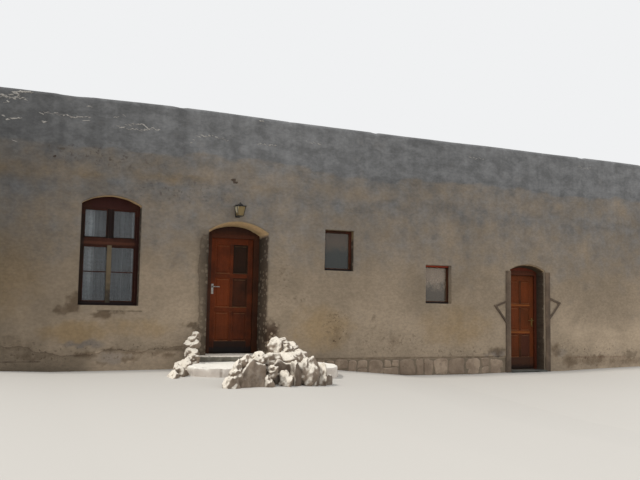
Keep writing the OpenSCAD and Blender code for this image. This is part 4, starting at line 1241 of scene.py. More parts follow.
# How light the front is by height, and by place along it
LIGHT_BY_HEIGHT = np.array([[0, 1.12], [0.3, 1.08], [0.45, 1.1], [0.6, 1.14], [0.8, 1.16], [1.05, 1.11],
    [1.3, 1.04], [1.6, 0.98], [2.1, 0.95], [2.6, 0.94], [2.9, 0.91], [3.1, 0.89], [3.3, 0.9], [3.5, 0.9],
    [3.75, 0.98], [4.2, 1], [4.42, 0.98]])
LIGHT_ALONG = np.array([[-7.2, 0.58], [-6, 0.62], [-5, 0.74], [-4.2, 0.84], [-3.6, 0.88], [-2, 0.97],
    [-0.5, 0.97], [1.2, 0.91], [2.6, 0.96], [4.2, 1], [7.2, 1.04]])
# Painted shade on the sides of the openings, along the front and in depth, and painted bounce light on their
# soffits
REVEAL_SHADE_ALONG = np.array([[-4, 0.3], [-3, 0.28], [-1.6, 0.28], [-1, 0.4], [0, 0.4], [1, -0.3], [2, -0.3], [3, 0.5]])
REVEAL_SHADE_DEEP_1 = np.array([[0.05, -0.25], [0.3, 0.22], [0.34, 0.3], [0.4, 0]])
REVEAL_SHADE_DEEP_2 = np.array([[0, -0.2], [0.2, 0.12]])
SOFFIT_LIGHT_ALONG = np.array([[-3.8, 2], [-3.2, 1.75], [-1.5, 1.75], [-1, 0], [3, 0], [3.2, 1.3]])


def coat_edge(points: np.ndarray) -> np.ndarray:
    """Height up to which the coat over the plinth has broken off, as a wavy line."""
    line = np.interp(points[:, 0], *COAT_EDGE.T)
    return line + 0.035 * noise(points, 0.13, 21) + 0.03 * noise(points, 0.45, 23)


def strip_beside_door(points: np.ndarray) -> np.ndarray:
    """The strip left of doorway 1 where the coat is gone: a ramp from 0 to 1 over 0.16 m, a half on its edge.

    Args:
        points: Places on the wall.

    Returns:
        The ramp at each point.
    """
    x, _, z = points.T
    across = np.clip(0.5 + (x + 3.0 - 0.03 * noise(points, 0.3, 37)) / 0.16, 0, 1) * smooth(-2.5 - x, 0, 0.1)
    return across * np.clip(0.5 + (2.36 - z) / 0.3, 0, 1) * on_face(points)


def spots(points: np.ndarray, places: Sequence[tuple[float, ...]]) -> np.ndarray:
    """The strongest of several soft spots, whose outlines are torn by shifting the points with noise.

    Args:
        points: Places on the wall.
        places: Middle, half sizes and strength of each spot.

    Returns:
        The strongest spot at each point.
    """
    torn = points.copy()
    torn[:, 0] += 0.07 * rough(points, 0.13, 3, 0.6, 131)
    torn[:, 2] += 0.05 * rough(points, 0.11, 3, 0.6, 133)
    return np.max([strength * blob(torn, *place) ** 0.7 for *place, strength in places], axis=0)


def wall_light(points: np.ndarray, rest: np.ndarray, drift: np.ndarray) -> np.ndarray:
    """How light the plaster of the front is.

    It is the product of a curve over the height and one along the wall, of a dark line over the plinth and
    a dark foot, and of lighter places beside doorway 1 and where the coat is gone. Away from the front, where
    rest is 1, it is even.

    Args:
        points: Places on the wall.
        rest: 0 on the front to 1 away from it.
        drift: Noise in metres, which shifts the curve over the height.

    Returns:
        Factor on the colour at each point.
    """
    x, _, z = points.T
    light = np.interp(z + 0.4 * drift, *LIGHT_BY_HEIGHT.T) * np.interp(x, *LIGHT_ALONG.T)
    light *= 1 + 0.04 * noise(points, 1.3, 33)
    light *= 1 + 0.2 * smooth(x, 4.2, 5) * smooth(1.2 - z, 0, 0.5) - 0.22 * smooth(0.27 - z, 0, 0.07) * (x < -4.7)
    light *= 1 + 0.55 * smooth(x, -4.9, -4.4) * smooth(-3.1 - x, 0, 0.3) * smooth(0.52 - z, 0, 0.08)
    light *= 1 + 0.18 * blob(points, -3.55, 0.95, 0.8, 0.5)
    light *= 1 - 0.36 * smooth(0.312 - z, 0, 0.01) * (x > -1.42) * (x < 3.1)
    return light + rest * (0.96 + 0.05 * noise(points, 1.6, 35) - light)


def wall_values(points: np.ndarray) -> dict[str, np.ndarray]:
    """What the plaster finish reads over the walls, each about 0 to 1.

    The sides of the openings get painted shade and their soffits painted bounce light; doorway 2's soffit gets
    painted shade. Render climbs from a veil at 2.5 m to full over the lap line.

    Args:
        points: Places on the wall.

    Returns:
        A number for each point, by name.
    """
    x, y, z = points.T
    depth = y - PLAN.front
    drift = 0.16 * rough(points, 0.5, 3, seed=31)
    rest = np.where(np.abs(x) > 7.1, smooth(depth, 0.0, 1.4), depth >= 0.62)
    within = np.any([(np.abs(x - o.middle) < o.half(0) + 0.03) & (z > o.low - 0.03) & (z < o.crown + 0.1)
                     for o in FRONT_OPENINGS], axis=0)
    deep = smooth(depth, 0.0, 0.05) * (depth < 0.59) * within
    soffit = deep * (z > np.where(x > 3, 1.98, np.where(x < -3.5, 2.74, 2.40)))
    side, second = deep - soffit, (x > 3.0) * (x < 4.3)
    # Painted shade on the sides of the openings and painted bounce light on the soffits; doorway 2's soffit gets
    # painted shade
    reveal_shade = np.interp(x, *REVEAL_SHADE_ALONG.T) + second * np.interp(depth, *REVEAL_SHADE_DEEP_2.T)
    reveal_shade += (np.abs(x - DOORWAY_1.middle) < 1) * np.interp(depth, *REVEAL_SHADE_DEEP_1.T)
    lift = np.interp(x, *SOFFIT_LIGHT_ALONG.T) * (1 - 0.3 * smooth(depth, 0.10, 0.35))
    lift -= 1.7 * second * smooth(depth, 0.03, 0.08)
    light = wall_light(points, rest, drift) * (1 - reveal_shade * side) * (1 + soffit * lift)
    above = z - np.interp(x, *RENDER_EDGE.T)
    veiled = np.maximum(smooth(above + 0.5 * drift, -0.09, 0.09), np.interp(z + 0.6 * drift, *VEIL.T))
    strip = strip_beside_door(points)
    values = {label: spots(points, places) for label, places in MARKS.items()}
    broken = np.clip(0.5 + (coat_edge(points) - z) / 0.16, 0, 1) * smooth(np.interp(x, *COAT_EDGE.T), 0.34, 0.40)
    return values | {
        "light": np.maximum(light * (1 - 0.42 * strip), 0.1),
        "render": (veiled + rest * (smooth(above + drift, -0.2, 0.2) - veiled)) * (1 - soffit),
        "fallen": np.maximum(broken * on_face(points), strip),
        "damp": np.where(on_face(points), values["damp"], 0.5 * smooth(0.40 - z + drift, 0, 0.3) * (1 - deep)),
        "pebbled": np.maximum(1.3 * spots(points, ((-1.74, 0.66, 0.20, 0.38, 1.0),)),
                              0.9 * side * (x < 0) + 0.45 * strip),
        # The soffits take the warm colour as painted bounce light
        "ochre": np.maximum(values["ochre"], soffit),
        # Doorway 2's sides and soffit take the dark colour as painted shade
        "soot": np.maximum(values["soot"], 0.62 * second * deep * smooth(depth, -0.12, 0.05)),
    }


def lines(low: float, high: float, pitch: float, fixed: Sequence[float]) -> np.ndarray:
    """Places of grid lines: the fixed ones, and even ones that keep clear of them by 0.45 of the pitch.

    Args:
        low: First line.
        high: Last line.
        pitch: Distance of the even lines.
        fixed: Lines that have to be there.

    Returns:
        The lines, in order.
    """
    even = np.linspace(low, high, max(2, round((high - low) / pitch) + 1))
    kept = np.unique(np.round(np.array([low, high, *fixed]), 5))
    clear = np.abs(even[:, None] - kept[None, :]).min(axis=1) > 0.45 * pitch
    return np.sort(np.concatenate([kept, even[clear]]))


EDGE_STEPS = (0.0, 0.008, 0.02, 0.042)
UP = np.array([0, 0, 1.0])


def face_rows(openings: Sequence[Opening], pitch: float) -> np.ndarray:
    """Heights of the rows of every wall face, so that the sides meet point on point at the corners.

    Args:
        openings: Openings of the front and the rear.
        pitch: Distance of the even rows.

    Returns:
        Heights, in order.
    """
    fixed = [0.30, PLAN.plinth, 0.33, 0.345, 0.36]
    for o in openings:
        fixed += [o.low - e for e in EDGE_STEPS if o.low - e > 0.005] + [o.spring(0) + e for e in EDGE_STEPS]
    return lines(0.0, PLAN.top - PLAN.worn, pitch, fixed)


def rounded(away: np.ndarray | float, radius: np.ndarray | float) -> tuple[np.ndarray, np.ndarray, np.ndarray]:
    """Round an edge: within its radius r, a face turns from 45 degrees at the edge to flat.

    Args:
        away: Distance e from the edge.
        radius: Radius of the edge.

    Returns:
        The turn, the move along the face (r - r cos(turn) - e) and the fall behind it (r - r sin(turn)).
    """
    turn = np.radians(45 + 45 * np.clip(away / radius, 0, 1))
    near = away < radius
    return turn, near * (radius - radius * np.cos(turn) - away), near * (radius - radius * np.sin(turn))


@dataclass
class WallSkin:
    """The worn plaster and parapet of one side of the house, as a closed shell 0.6 m thick.

    It is a grid: its columns run along the wall and its rows follow a path that climbs the outer face, rounds
    the parapet, comes down behind it and crosses the wall head. The ends are mitred.
    """

    name: str
    start: tuple[float, float]
    along: tuple[float, float]
    length: float
    pitch: float
    openings: tuple[Opening, ...]
    rows: np.ndarray

    def __post_init__(self) -> None:
        """Work out the outward direction: along crossed with up."""
        self.a = np.array([*self.along, 0.0])
        self.n = np.array([self.along[1], -self.along[0], 0.0])
        self.origin = np.array([*self.start, 0.0])

    def at(self, s: np.ndarray, o: np.ndarray | float, z: np.ndarray | float) -> np.ndarray:
        """Points from the distance along the wall, the distance inwards and the height."""
        o, z = o + 0 * s, z + 0 * s
        return self.origin + s[:, None] * self.a - o[:, None] * self.n + z[:, None] * UP

    def path(self) -> np.ndarray:
        """The rows of the grid: inward distance, height, and the outward part of the normal.

        Returns:
            Three numbers for each row.
        """
        r, top, t = PLAN.worn, PLAN.top, PLAN.parapet
        rows = [(0.0, height, 1.0) for height in self.rows]
        for middle, side, angles in ((r, -1, (22.5, 45, 67.5, 90)), (t - r, 1, (67.5, 45, 22.5, 0))):
            rows += [(middle + side * r * math.cos(a), top - r + r * math.sin(a), -side * math.cos(a))
                     for a in np.radians(angles)]
            if side < 0:
                rows += [(o, top, 0.0) for o in np.linspace(r, t - r, 6)[1:]]
        rows += [(t, z, -1.0) for z in np.linspace(top - r, PLAN.wall_top, 9)[1:]]
        return np.array(rows + [(PLAN.wall, PLAN.wall_top, 0.0)])

    def surface(self, path: np.ndarray, cols: np.ndarray) -> tuple[np.ndarray, np.ndarray, np.ndarray]:
        """Lay the grid on the true wall, and move it by the relief, the set-back plinth, the crest and the edges.

        The rows over an arch rise with it, and the corners of the house are rounded in plan.

        Args:
            path: Rows of the grid.
            cols: Places of its columns along the wall.

        Returns:
            Distance along the wall and height of each point, and its place.
        """
        s = np.tile(cols, len(path))
        o, z, nu = np.repeat(path, len(cols), axis=0).T
        face, size = o < 0.01, self.length
        for hole in (h for h in self.openings if h.rise > 0):
            spring = hole.spring(0)
            inside = np.abs(s - hole.middle) <= hole.half(0) + TINY
            lift = hole.head(np.where(inside, s - hole.middle, 0), 0) - spring
            z = z + inside * lift * np.clip(1 - (z - spring) / 0.6, 0, 1) * (z >= spring - TINY) * face
        mitred = o + s * (1 - 2 * o / size)
        near, end = np.minimum(s, size - s), np.where(s < size / 2, 1.0, -1.0)
        turn, shift, fall = rounded(near, PLAN.corner)
        outer = np.clip(1 - o / PLAN.worn, 0, 1) * (nu > 0)
        true = self.at(mitred + end * shift * outer, o + fall * outer, z)
        lean = np.where(near < PLAN.corner, -end * np.cos(turn), 0) * outer
        inner = np.where(nu < 0, smooth(np.minimum(mitred, size - mitred), 0, 0.15), 1.0) * (o < PLAN.wall - 0.01)
        x = true[:, 0]
        ragged = np.maximum(smooth(-3.05 - x, 0, 0.3), smooth(x - 4.2, 0, 0.1)) * on_face(true)
        level = 0.335 - ragged * (0.09 + 0.09 * noise(true, 0.35, 45)) - z
        back = PLAN.plinth_back * smooth(level, -0.012 - 0.05 * ragged, 0.012 + 0.05 * ragged) * face
        out = nu[:, None] * (np.sqrt(1 - lean**2)[:, None] * self.n + lean[:, None] * self.a)
        points = true + out * (wall_relief(true) * inner - back)[:, None]
        crest = 0.007 * rough(true, 1.4, 4, seed=41) - 0.004 - 0.014 * smooth(noise(true, 0.21, 43), 0.5, 0.9)
        crest += 0.034 * np.exp(-(((x + 3.3) / 1.6) ** 2)) * (true[:, 1] < 0)
        points[:, 2] += crest * smooth(z, PLAN.top - 0.35, PLAN.top) * (o < PLAN.parapet + 0.001)
        for hole in self.openings:
            points += self.arris(hole, s, z, true, face & (nu > 0))
        return s, z, points

    def shell(self) -> Shell:
        """Build the whole shell: face and parapet grid, reveals, and the flat faces that close it.

        Returns:
            The closed shell.
        """
        marks = [o.middle + k * (o.half(0) + e) for o in self.openings for e in EDGE_STEPS for k in (-1, 1)]
        marks += [PLAN.corner / 2, PLAN.corner, self.length - PLAN.corner / 2, self.length - PLAN.corner]
        cols, path = lines(0.0, self.length, self.pitch, marks), self.path()
        wide, count = len(cols), len(path)
        s, z, points = self.surface(path, cols)
        keep = np.ones((count - 1, wide - 1), bool)
        made, rings = [], []
        for hole in self.openings:
            i0, i1 = (int(np.argmin(np.abs(cols - (hole.middle + k * hole.half(0))))) for k in (-1, 1))
            j0, j1 = (int(np.argmin(np.abs(self.rows - v))) for v in (hole.low, hole.spring(0)))
            keep[j0:j1, i0:i1] = False
            ring = [(j0, i) for i in range(i0, i1)] + [(j, i1) for j in range(j0, j1)]
            ring += [(j1, i) for i in range(i1, i0, -1)] + [(j, i0) for j in range(j1, j0, -1)]
            loop = np.array([j * wide + i for j, i in ring])
            points, sides, last = self.reveal(hole, points, s[loop], z[loop], loop)
            made += sides
            rings.append(list(last))
        faces = [f for f, k in zip(grid_faces(count, wide), keep.ravel().tolist()) if k] + made
        points, flat = self.closing(points, wide, count, rings)
        return self.compact(points, faces + flat, [False] * len(faces) + [True] * len(flat))

    def arris(self, hole: Opening, s: np.ndarray, z: np.ndarray, true: np.ndarray, face: np.ndarray) -> np.ndarray:
        """The shift of each point that rounds the worn edge of an opening, away from its outline and inwards.

        Args:
            hole: The opening.
            s: Distance of the points along the wall.
            z: Their heights.
            true: Their places.
            face: Whether each lies on the wall face.

        Returns:
            The shifts.
        """
        e = hole.distance(s, z)
        near = face & (e > -TINY)
        _, side, fall = rounded(np.maximum(e, 0), self.edge_radius(hole, true))
        away = unit(np.stack([hole.distance(s + TINY, z) - hole.distance(s - TINY, z),
                              hole.distance(s, z + TINY) - hole.distance(s, z - TINY)], 1)) * (near * side)[:, None]
        return away[:, :1] * self.a - (near * fall)[:, None] * self.n + away[:, 1:] * UP

    @staticmethod
    def edge_radius(hole: Opening, points: np.ndarray) -> np.ndarray:
        """Radius of the worn edge: the opening's own, from a tenth of it to twice by noise."""
        return hole.worn * (1.05 + 0.55 * noise(points, 0.16, 51) + 0.4 * noise(points, 0.6, 53))

    def reveal(self, hole: Opening, points: np.ndarray, s: np.ndarray, z: np.ndarray,
               loop: np.ndarray) -> tuple[np.ndarray, list[tuple], np.ndarray]:
        """Carry the outline of an opening through the wall.

        Ring after ring, the outline goes from its flared form at the face to the frame's form at the recess,
        and straight on to the inner face. Between, rough plaster stands up to 5 mm into the opening.

        Args:
            hole: The opening.
            points: All points so far.
            s: Distance along the wall of the outline's points.
            z: Height of the outline's points.
            loop: Indices of the outline's points.

        Returns:
            All points, the new quads, and the indices of the last ring.
        """
        inner = np.linspace(0.07, hole.recess, max(3, round((hole.recess - 0.07) / 0.035) + 1))
        depths = [*(d for d in EDGE_STEPS[1:] if d < hole.recess), *inner, hole.recess + 0.1, PLAN.wall]
        spring = hole.spring(0)
        across, arch = (s - hole.middle) / hole.half(0), z > spring + TINY
        rise = (z - hole.low) / (spring - hole.low)
        radius = self.edge_radius(hole, self.at(s, 0.0, z))
        faces: list[tuple] = []
        previous = loop
        for depth in depths:
            t = min(depth / hole.recess, 1.0)
            far, high = across * hole.half(t), z
            up = np.where(z >= spring - TINY, 1.0, np.where(z <= hole.low + TINY, -1, 0))
            radial = np.stack([np.where(np.abs(across) > 0.999, np.sign(across), 0), up], 1)
            if hole.rise > 0:
                high = np.where(arch, hole.head(far, t), hole.low + rise * (hole.spring(t) - hole.low))
                radial[arch] = np.stack([far[arch], high[arch] - hole.centre], 1)
            base = self.at(hole.middle + far, depth, high)
            _, deeper, worn_off = rounded(depth, radius)
            middle = smooth(np.array(depth), 0.01, 0.06) * (depth < PLAN.wall - 0.01)
            coarse = (0.5 + 0.5 * rough(base, 0.11, 3, seed=61)) * (0.005 + 0.4 * (hole.worn - 0.01)) * middle
            move = unit(radial) * (worn_off - coarse)[:, None]
            ring = np.arange(len(points), len(points) + len(loop))
            base += move[:, :1] * self.a + move[:, 1:] * UP - deeper[:, None] * self.n
            points = np.concatenate([points, base])
            quads = np.stack([np.roll(previous, -1), np.roll(ring, -1), ring, previous], 1)
            faces += [tuple(q) for q in quads.tolist()]
            previous = ring
        return points, faces, previous

    def closing(self, points: np.ndarray, wide: int, count: int, rings: list[list]) -> tuple[np.ndarray, list]:
        """Close the shell with its inner face, its foot and its two mitred ends.

        Args:
            points: All points so far.
            wide: Number of columns of the grid.
            count: Number of its rows.
            rings: Last ring of each opening.

        Returns:
            All points, and the new faces.
        """
        low = self.at(np.array([PLAN.wall, self.length - PLAN.wall]), PLAN.wall, 0.0)
        first, second = len(points), len(points) + 1
        points = np.concatenate([points, low])
        last = [(count - 1) * wide + i for i in range(wide)]
        faces = fill(points, [[first, second] + last[::-1]] + rings, self.a, UP, -self.n)
        faces += fill(points, [list(range(wide)) + [second, first]], self.a, self.n, -UP)
        for side, corner, column in ((1, first, 0), (-1, second, wide - 1)):
            loop = [j * wide + column for j in range(count)] + [corner]
            faces += fill(points, [loop], (side * self.a - self.n) / math.sqrt(2), UP, -side * self.a)
        return points, faces

    @staticmethod
    def compact(points: np.ndarray, faces: list[tuple], flat: list[bool]) -> Shell:
        """Drop the points that no face uses and add the values that the finish reads.

        Args:
            points: All points.
            faces: All faces.
            flat: Whether each is flat.

        Returns:
            The shell.
        """
        used = np.zeros(len(points), bool)
        used[np.array([i for f in faces for i in f])] = True
        new = (np.cumsum(used) - 1).tolist()
        return Shell(points[used], [tuple(new[i] for i in f) for f in faces], wall_values(points[used]), flat)


@dataclass
class Walls:
    """The four wall skins."""

    front_pitch: float = 0.042
    other_pitch: float = 0.09

    def build(self) -> None:
        """Make the four skins, each in place of its solids."""
        p = PLAN
        wide, deep = p.right - p.left, p.rear - p.front
        rows = face_rows((*FRONT_OPENINGS, *SMALL_REAR), self.front_pitch)
        fronts = tuple(replace(o, middle=o.middle - p.left) for o in FRONT_OPENINGS)
        rears = tuple(replace(o, middle=p.right - o.middle) for o in SMALL_REAR)
        for name, start, along, length, pitch, openings, nodes in (
            ("front", (p.left, p.front), (1, 0), wide, self.front_pitch, fronts, (
                "front_wall_left", "front_wall_middle", "front_wall_right", "door_1_head", "door_2_head",
                "front_parapet", "plinth_front")),
            ("right", (p.right, p.front), (0, 1), deep, self.other_pitch, (),
             ("right_wall", "side_parapets", "plinth_sides")),
            ("rear", (p.right, p.rear), (-1, 0), wide, self.other_pitch, rears,
             ("rear_wall", "rear_parapet", "plinth_rear")),
            ("left", (p.left, p.rear), (0, -1), deep, self.other_pitch, (), ("left_wall",)),
        ):
            side = WallSkin(f"{name}_plaster", start, along, length, pitch, openings, rows)
            piece(side.name, side.shell(), PLASTER, nodes)


# ---------------------------------------------------------------- joinery

GrainedShell = tuple[Shell, np.ndarray]


def board(start: Sequence[float], end: Sequence[float], width: Sequence[float], depth: float, edge: float = 0.0025,
          tone: float = 0.5, seed: int = 0, steps: int = 14, rub: float = 0.15, grey: float = 0.0) -> GrainedShell:
    """A planed board as a profile carried along a straight path.

    The profile is a rectangle whose corners are quarter circles of the edge radius. Along the path it swells
    and narrows by 0.3 mm of noise, as hand-planed wood does, and its ends are drawn in by 1.5 mm.

    Args:
        start: Middle of the board's outer face at one end.
        end: The same at the other end.
        width: Vector across the outer face, as long as the board is wide.
        depth: Thickness, which lies towards +Y.
        edge: Radius of the worn edges.
        tone: Tone that the wood finish reads.
        seed: Number of the draw.
        steps: Number of sections along the path.
        rub: How pale the edge is on the side that the width points to; it stands for wear, and on the middle rails
            for a painted highlight.
        grey: How far the wood has gone grey.

    Returns:
        The shell, and the grain map as (across and along) coordinates for each point.
    """
    a, b, w = (np.array(v, float) for v in (start, end, width))
    wide, length, tip = np.linalg.norm(w), np.linalg.norm(b - a), 0.0015
    side, inward = w / wide, np.array([0, 1.0, 0])
    corners, quarter = [], np.array([0, 30, 60, 90])
    for x, y, turn in ((wide / 2 - edge, depth - edge, 0), (edge - wide / 2, depth - edge, 90),
                       (edge - wide / 2, edge, 180), (wide / 2 - edge, edge, 270)):
        corners += [(x + edge * math.cos(t), y + edge * math.sin(t)) for t in np.radians(turn + quarter)]
        if turn == 180:
            corners += [(2.2 * edge - wide / 2, 0.0), (wide / 2 - 2.2 * edge, 0.0)]
    profile = np.array(corners)
    t = np.concatenate([[0, tip / length], np.linspace(0.02, 0.98, steps), [1 - tip / length, 1]])
    size = 1 - np.where((t == 0) | (t == 1), tip, 0) / (min(wide, depth) / 2)
    middle = np.array([0, depth / 2])
    rings = middle + (profile - middle) * size[:, None, None]
    points = (a + t[:, None] * (b - a))[:, None] + rings[..., :1] * side + rings[..., 1:] * inward
    points = points.reshape(-1, 3)
    points += 0.0003 * noise(points + seed * 3.7, 0.09, 71)[:, None] * side
    faces = tube_faces(len(t), len(profile))
    if np.dot(np.cross(side, inward), b - a) > 0:
        faces = turned_over(faces)
    grain = np.stack([points @ side + seed * 0.37, np.repeat(t, len(profile)) * length + seed * 0.53], 1)
    x, y = np.tile(profile, (len(t), 1)).T
    rubbed_and_highlit = (x > wide / 2 - 1.2 * edge) * (y < 1.2 * edge) * smooth(noise(points, 0.12, 73), -0.5, 0.5) * rub
    values = {"tone": tone + 0.04 * noise(points, 0.3, 75), "worn": rubbed_and_highlit, "grey": np.full(len(points), grey)}
    return Shell(points, faces, values), grain


@dataclass
class PanelDoor:
    """A six-panel door: leaf of boards and raised panels, frame, lock and lever.

    Tones are those of the panels from the left below to the right above, of the two stiles, of the bottom,
    middle and top rails, and of the muntins. Mould is the inset and depth of the rings of half a panel, from
    the raised field over its slope and the plain margin to the moulding at the edge.
    """

    number: int
    middle: float
    floor: float
    opening: float
    recess: float
    post: float
    height: float
    bottom_rail: float
    tones: tuple[float, ...]
    body: Body
    stile: float = 0.100
    top_rail: float = 0.115
    mid_rail: float = 0.075
    muntin: float = 0.050
    thick: float = 0.044
    frame_depth: float = 0.090
    lap: float = 0.009
    gap: float = 0.010
    set_back: float = 0.0004
    metal: Metal = STEEL
    mould: tuple = ((0.036, 0.005), (0.0345, 0.0055), (0.022, 0.012), (0.011, 0.012), (0.0095, 0.0095),
                    (0.008, 0.0062), (0.005, 0.0034), (0.0018, 0.0022), (0, 0.002), (-0.001, 0.002))

    def leaf(self) -> None:
        """Build the leaf: two stiles, four rails, three muntins and six panels."""
        width = self.opening - 2 * self.post + 2 * self.lap
        x0, z0 = self.middle - width / 2, self.floor + self.gap
        x1, z1 = x0 + width, z0 + self.height
        y = PLAN.front + self.recess + self.frame_depth - self.thick
        set_in, thin = y + self.set_back, self.thick - 2 * self.set_back
        panel_w = (width - 2 * self.stile - self.muntin) / 2
        panel_h = (self.height - self.bottom_rail - self.top_rail - 2 * self.mid_rail) / 3
        pitch, seed = panel_h + self.mid_rail, 11 * self.number
        parts = [board((x, y, z0), (x, y, z1), (self.stile, 0, 0), self.thick, tone=self.tones[6 + k],
                       seed=seed + k, steps=30) for k, x in enumerate((x0 + self.stile / 2, x1 - self.stile / 2))]
        first = z0 + self.bottom_rail
        rails = ((z0, self.bottom_rail, 8), (first + panel_h, self.mid_rail, 9),
                 (first + panel_h + pitch, self.mid_rail, 9), (z1 - self.top_rail, self.top_rail, 10))
        for k, (z, tall, tone) in enumerate(rails):
            # The middle rails' pale top edges are painted highlights
            parts.append(board((x0 + self.stile, set_in, z + tall / 2), (x1 - self.stile, set_in, z + tall / 2),
                               (0, 0, tall), thin, tone=self.tones[tone], seed=seed + 3 + k,
                               rub=1.0 if tone == 9 else 0.1, grey=0.8 if k == 0 else 0.0))
        for row in range(3):
            z = first + row * pitch
            parts.append(board((self.middle, set_in, z), (self.middle, set_in, z + panel_h), (self.muntin, 0, 0),
                               thin, tone=self.tones[11], seed=seed + 8 + row))
            for side in range(2):
                left, k = x0 + self.stile + side * (panel_w + self.muntin), 2 * row + side
                parts.append(self.panel(left, z, panel_w, panel_h, y, self.tones[k], seed + 12 + k))
        made = piece(f"door_{self.number}_boards", Shell.joined([shell for shell, _ in parts]), DOOR_WOOD,
                     (f"door_{self.number}_leaf",), self.body)
        lay_map(made, "grain", np.concatenate([grain for _, grain in parts]))

    def panel(self, left: float, low: float, wide: float, tall: float, y: float, tone: float,
              seed: int) -> GrainedShell:
        """One panel of mitred rings, each its rectangle drawn in by an inset, in front and then at the back.

        Args:
            left: Left side.
            low: Foot.
            wide: Width.
            tall: Height.
            y: Depth of the outer face.
            tone: Tone that the wood finish reads.
            seed: Number of the draw.

        Returns:
            The panel.
        """
        inset, depth = np.array([(i, y + d) for i, d in self.mould]
                                + [(i, y + self.thick - d) for i, d in reversed(self.mould)]).T
        right, high = left + wide - inset, low + tall - inset
        xs = np.stack([left + inset, right, right, left + inset], 1)
        zs = np.stack([low + inset, low + inset, high, high], 1)
        points = np.stack([xs, np.repeat(depth[:, None], 4, 1), zs], -1).reshape(-1, 3)
        faces = turned_over(tube_faces(len(inset), 4))
        values = {"tone": np.full(len(points), tone)}
        return Shell(points, faces, values, [True] * len(faces)), points[:, ::2] + seed * np.array([0.41, 0.29])

    def build(self) -> None:
        """Build the leaf, and soften the frame, the lock plates and the hinges."""
        door = f"door_{self.number}"
        self.leaf()
        worn(f"{door}_ironwork", f"{door}_lock_and_hinges", 0.0008, self.metal, self.body)
        dress(f"{door}_lever", self.metal)
        worn(f"{door}_frame", f"{door}_frame_worn", 0.004, FRAME_WOOD)


@dataclass
class ArchedWindow:
    """Window 1: frame, sashes, cover strip, glass, rod and two net curtains."""

    middle: float = WINDOW_1.middle
    half: float = 0.4375
    top: float = 2.7092
    low: float = 1.197
    rod_y: float = -2.335
    pleat: float = 0.0098
    pleats: float = 5.5
    gap: float = 0.006
    edge: float = 0.004
    columns: int = 200
    rows: int = 44

    def curtain(self, side: int) -> None:
        """Hang one curtain: a sheet whose depth is a sum of sines across it, deeper and slower towards its foot.

        The depth is pleat times (sin(u) + 0.35 sin(2.3 u + phase)) with u running 5.5 pleats over the width, and
        the phase drifts down the cloth by noise. The flat width is the length of that wave at mid height.

        Args:
            side: -1 for the left one, 1 for the right one.
        """
        v, t = np.meshgrid(np.linspace(0, 1, self.rows), np.linspace(0, 1, self.columns), indexing="ij")
        gather = 0.004 * np.sin(v * math.pi)
        x = side * (self.gap + gather + t * (self.half - self.edge - self.gap - gather))
        where = np.stack([t * 6, v * 1.3, 0 * v + side], -1).reshape(-1, 3)
        u = 2 * math.pi * self.pleats * t + 0.9 * noise(where, 1.0, 81).reshape(v.shape)
        wave = (0.72 + 0.28 * v) * self.pleat * (np.sin(u) + 0.35 * np.sin(2.3 * u + 1.3 + v))
        grid = np.stack([self.middle + x, self.rod_y + wave, self.top + v * (self.low - self.top)], -1)[:, ::side]
        width = float(np.linalg.norm(np.diff(grid[self.rows // 2], axis=0), axis=1).sum())
        points = grid.reshape(-1, 3)
        px, py, pz = points.T
        ripple = 0.5 * noise(where * (1, 0.12, 1), 0.9, 83) + 1.5 * noise(where * (0.55, 0.06, 1), 1.0, 87)
        apart = np.abs(px - self.middle)
        # Painted shade: in the folds that lie back, near the frame and where the two curtains meet; noise breaks it
        # up
        fold = np.maximum.reduce([np.clip(0.26 - 34 * (self.rod_y - py) + ripple, 0, 1),
                                  smooth(apart, 0.34, 0.42), smooth(0.09 - apart, 0, 0.06)])
        foot = np.maximum(smooth(1.80 - pz, 0, 0.45), 0.42 * smooth(2.2 - pz, 0, 0.1))
        shell = Shell(points, turned_over(grid_faces(self.rows, self.columns)), {"fold": fold, "foot": foot})
        made = piece(f"net_curtain_{'left' if side < 0 else 'right'}", shell, NET, ("window_1_curtains",))
        flat = width, self.top - self.low
        lay_map(made, "cloth", np.stack([t * flat[0], v * flat[1]], -1).reshape(-1, 2))
        made.modifiers.new("thread", "SOLIDIFY").thickness = 0.0006

    def build(self) -> None:
        """Build the window."""
        for side in (-1, 1):
            self.curtain(side)
        worn("window_1_frame", "window_1_frame_worn", 0.0035, WINDOW_WOOD)
        worn("window_1_sashes", "window_1_sashes_worn", 0.002, WINDOW_WOOD)
        worn("window_1_cover_strip", "window_1_strip_worn", 0.003, BARE_WOOD)
        dress("window_1_glass", WINDOW_GLASS)
        dress("curtain_rod", IRON)


@dataclass
class SmallWindows:
    """The four small windows: frames and glass."""

    edge: float = 0.003

    def build(self) -> None:
        """Give the frames worn edges and dress the glass."""
        worn("small_window_frames", "small_frames_worn", self.edge, FRAME_WOOD)
        dress("small_window_glass", SMALL_GLASS)


@dataclass
class Lantern:
    """Wall lantern over door 1."""

    edge: float = 0.0012

    def build(self) -> None:
        """Soften the bracket, cage and cap and dress the glass."""
        for node in ("lantern_bracket", "lantern_cage", "lantern_cap"):
            worn(node, f"{node}_worn", self.edge, IRON)
        dress("lantern_glass", AMBER_GLASS)


# ---------------------------------------------------------------- stones


@dataclass(frozen=True)
class Boulder:
    """A stone of a heap: place from the middle of door 1 and the wall face, size, painted shade, ridges and flat
    cuts.

    A cut is a direction and how far along it the flat face lies, as a share of half the size.
    """

    place: tuple[float, float, float]
    size: tuple[float, float, float]
    dark: float = 0.0
    ridges: float = 0.13
    cuts: tuple = ()


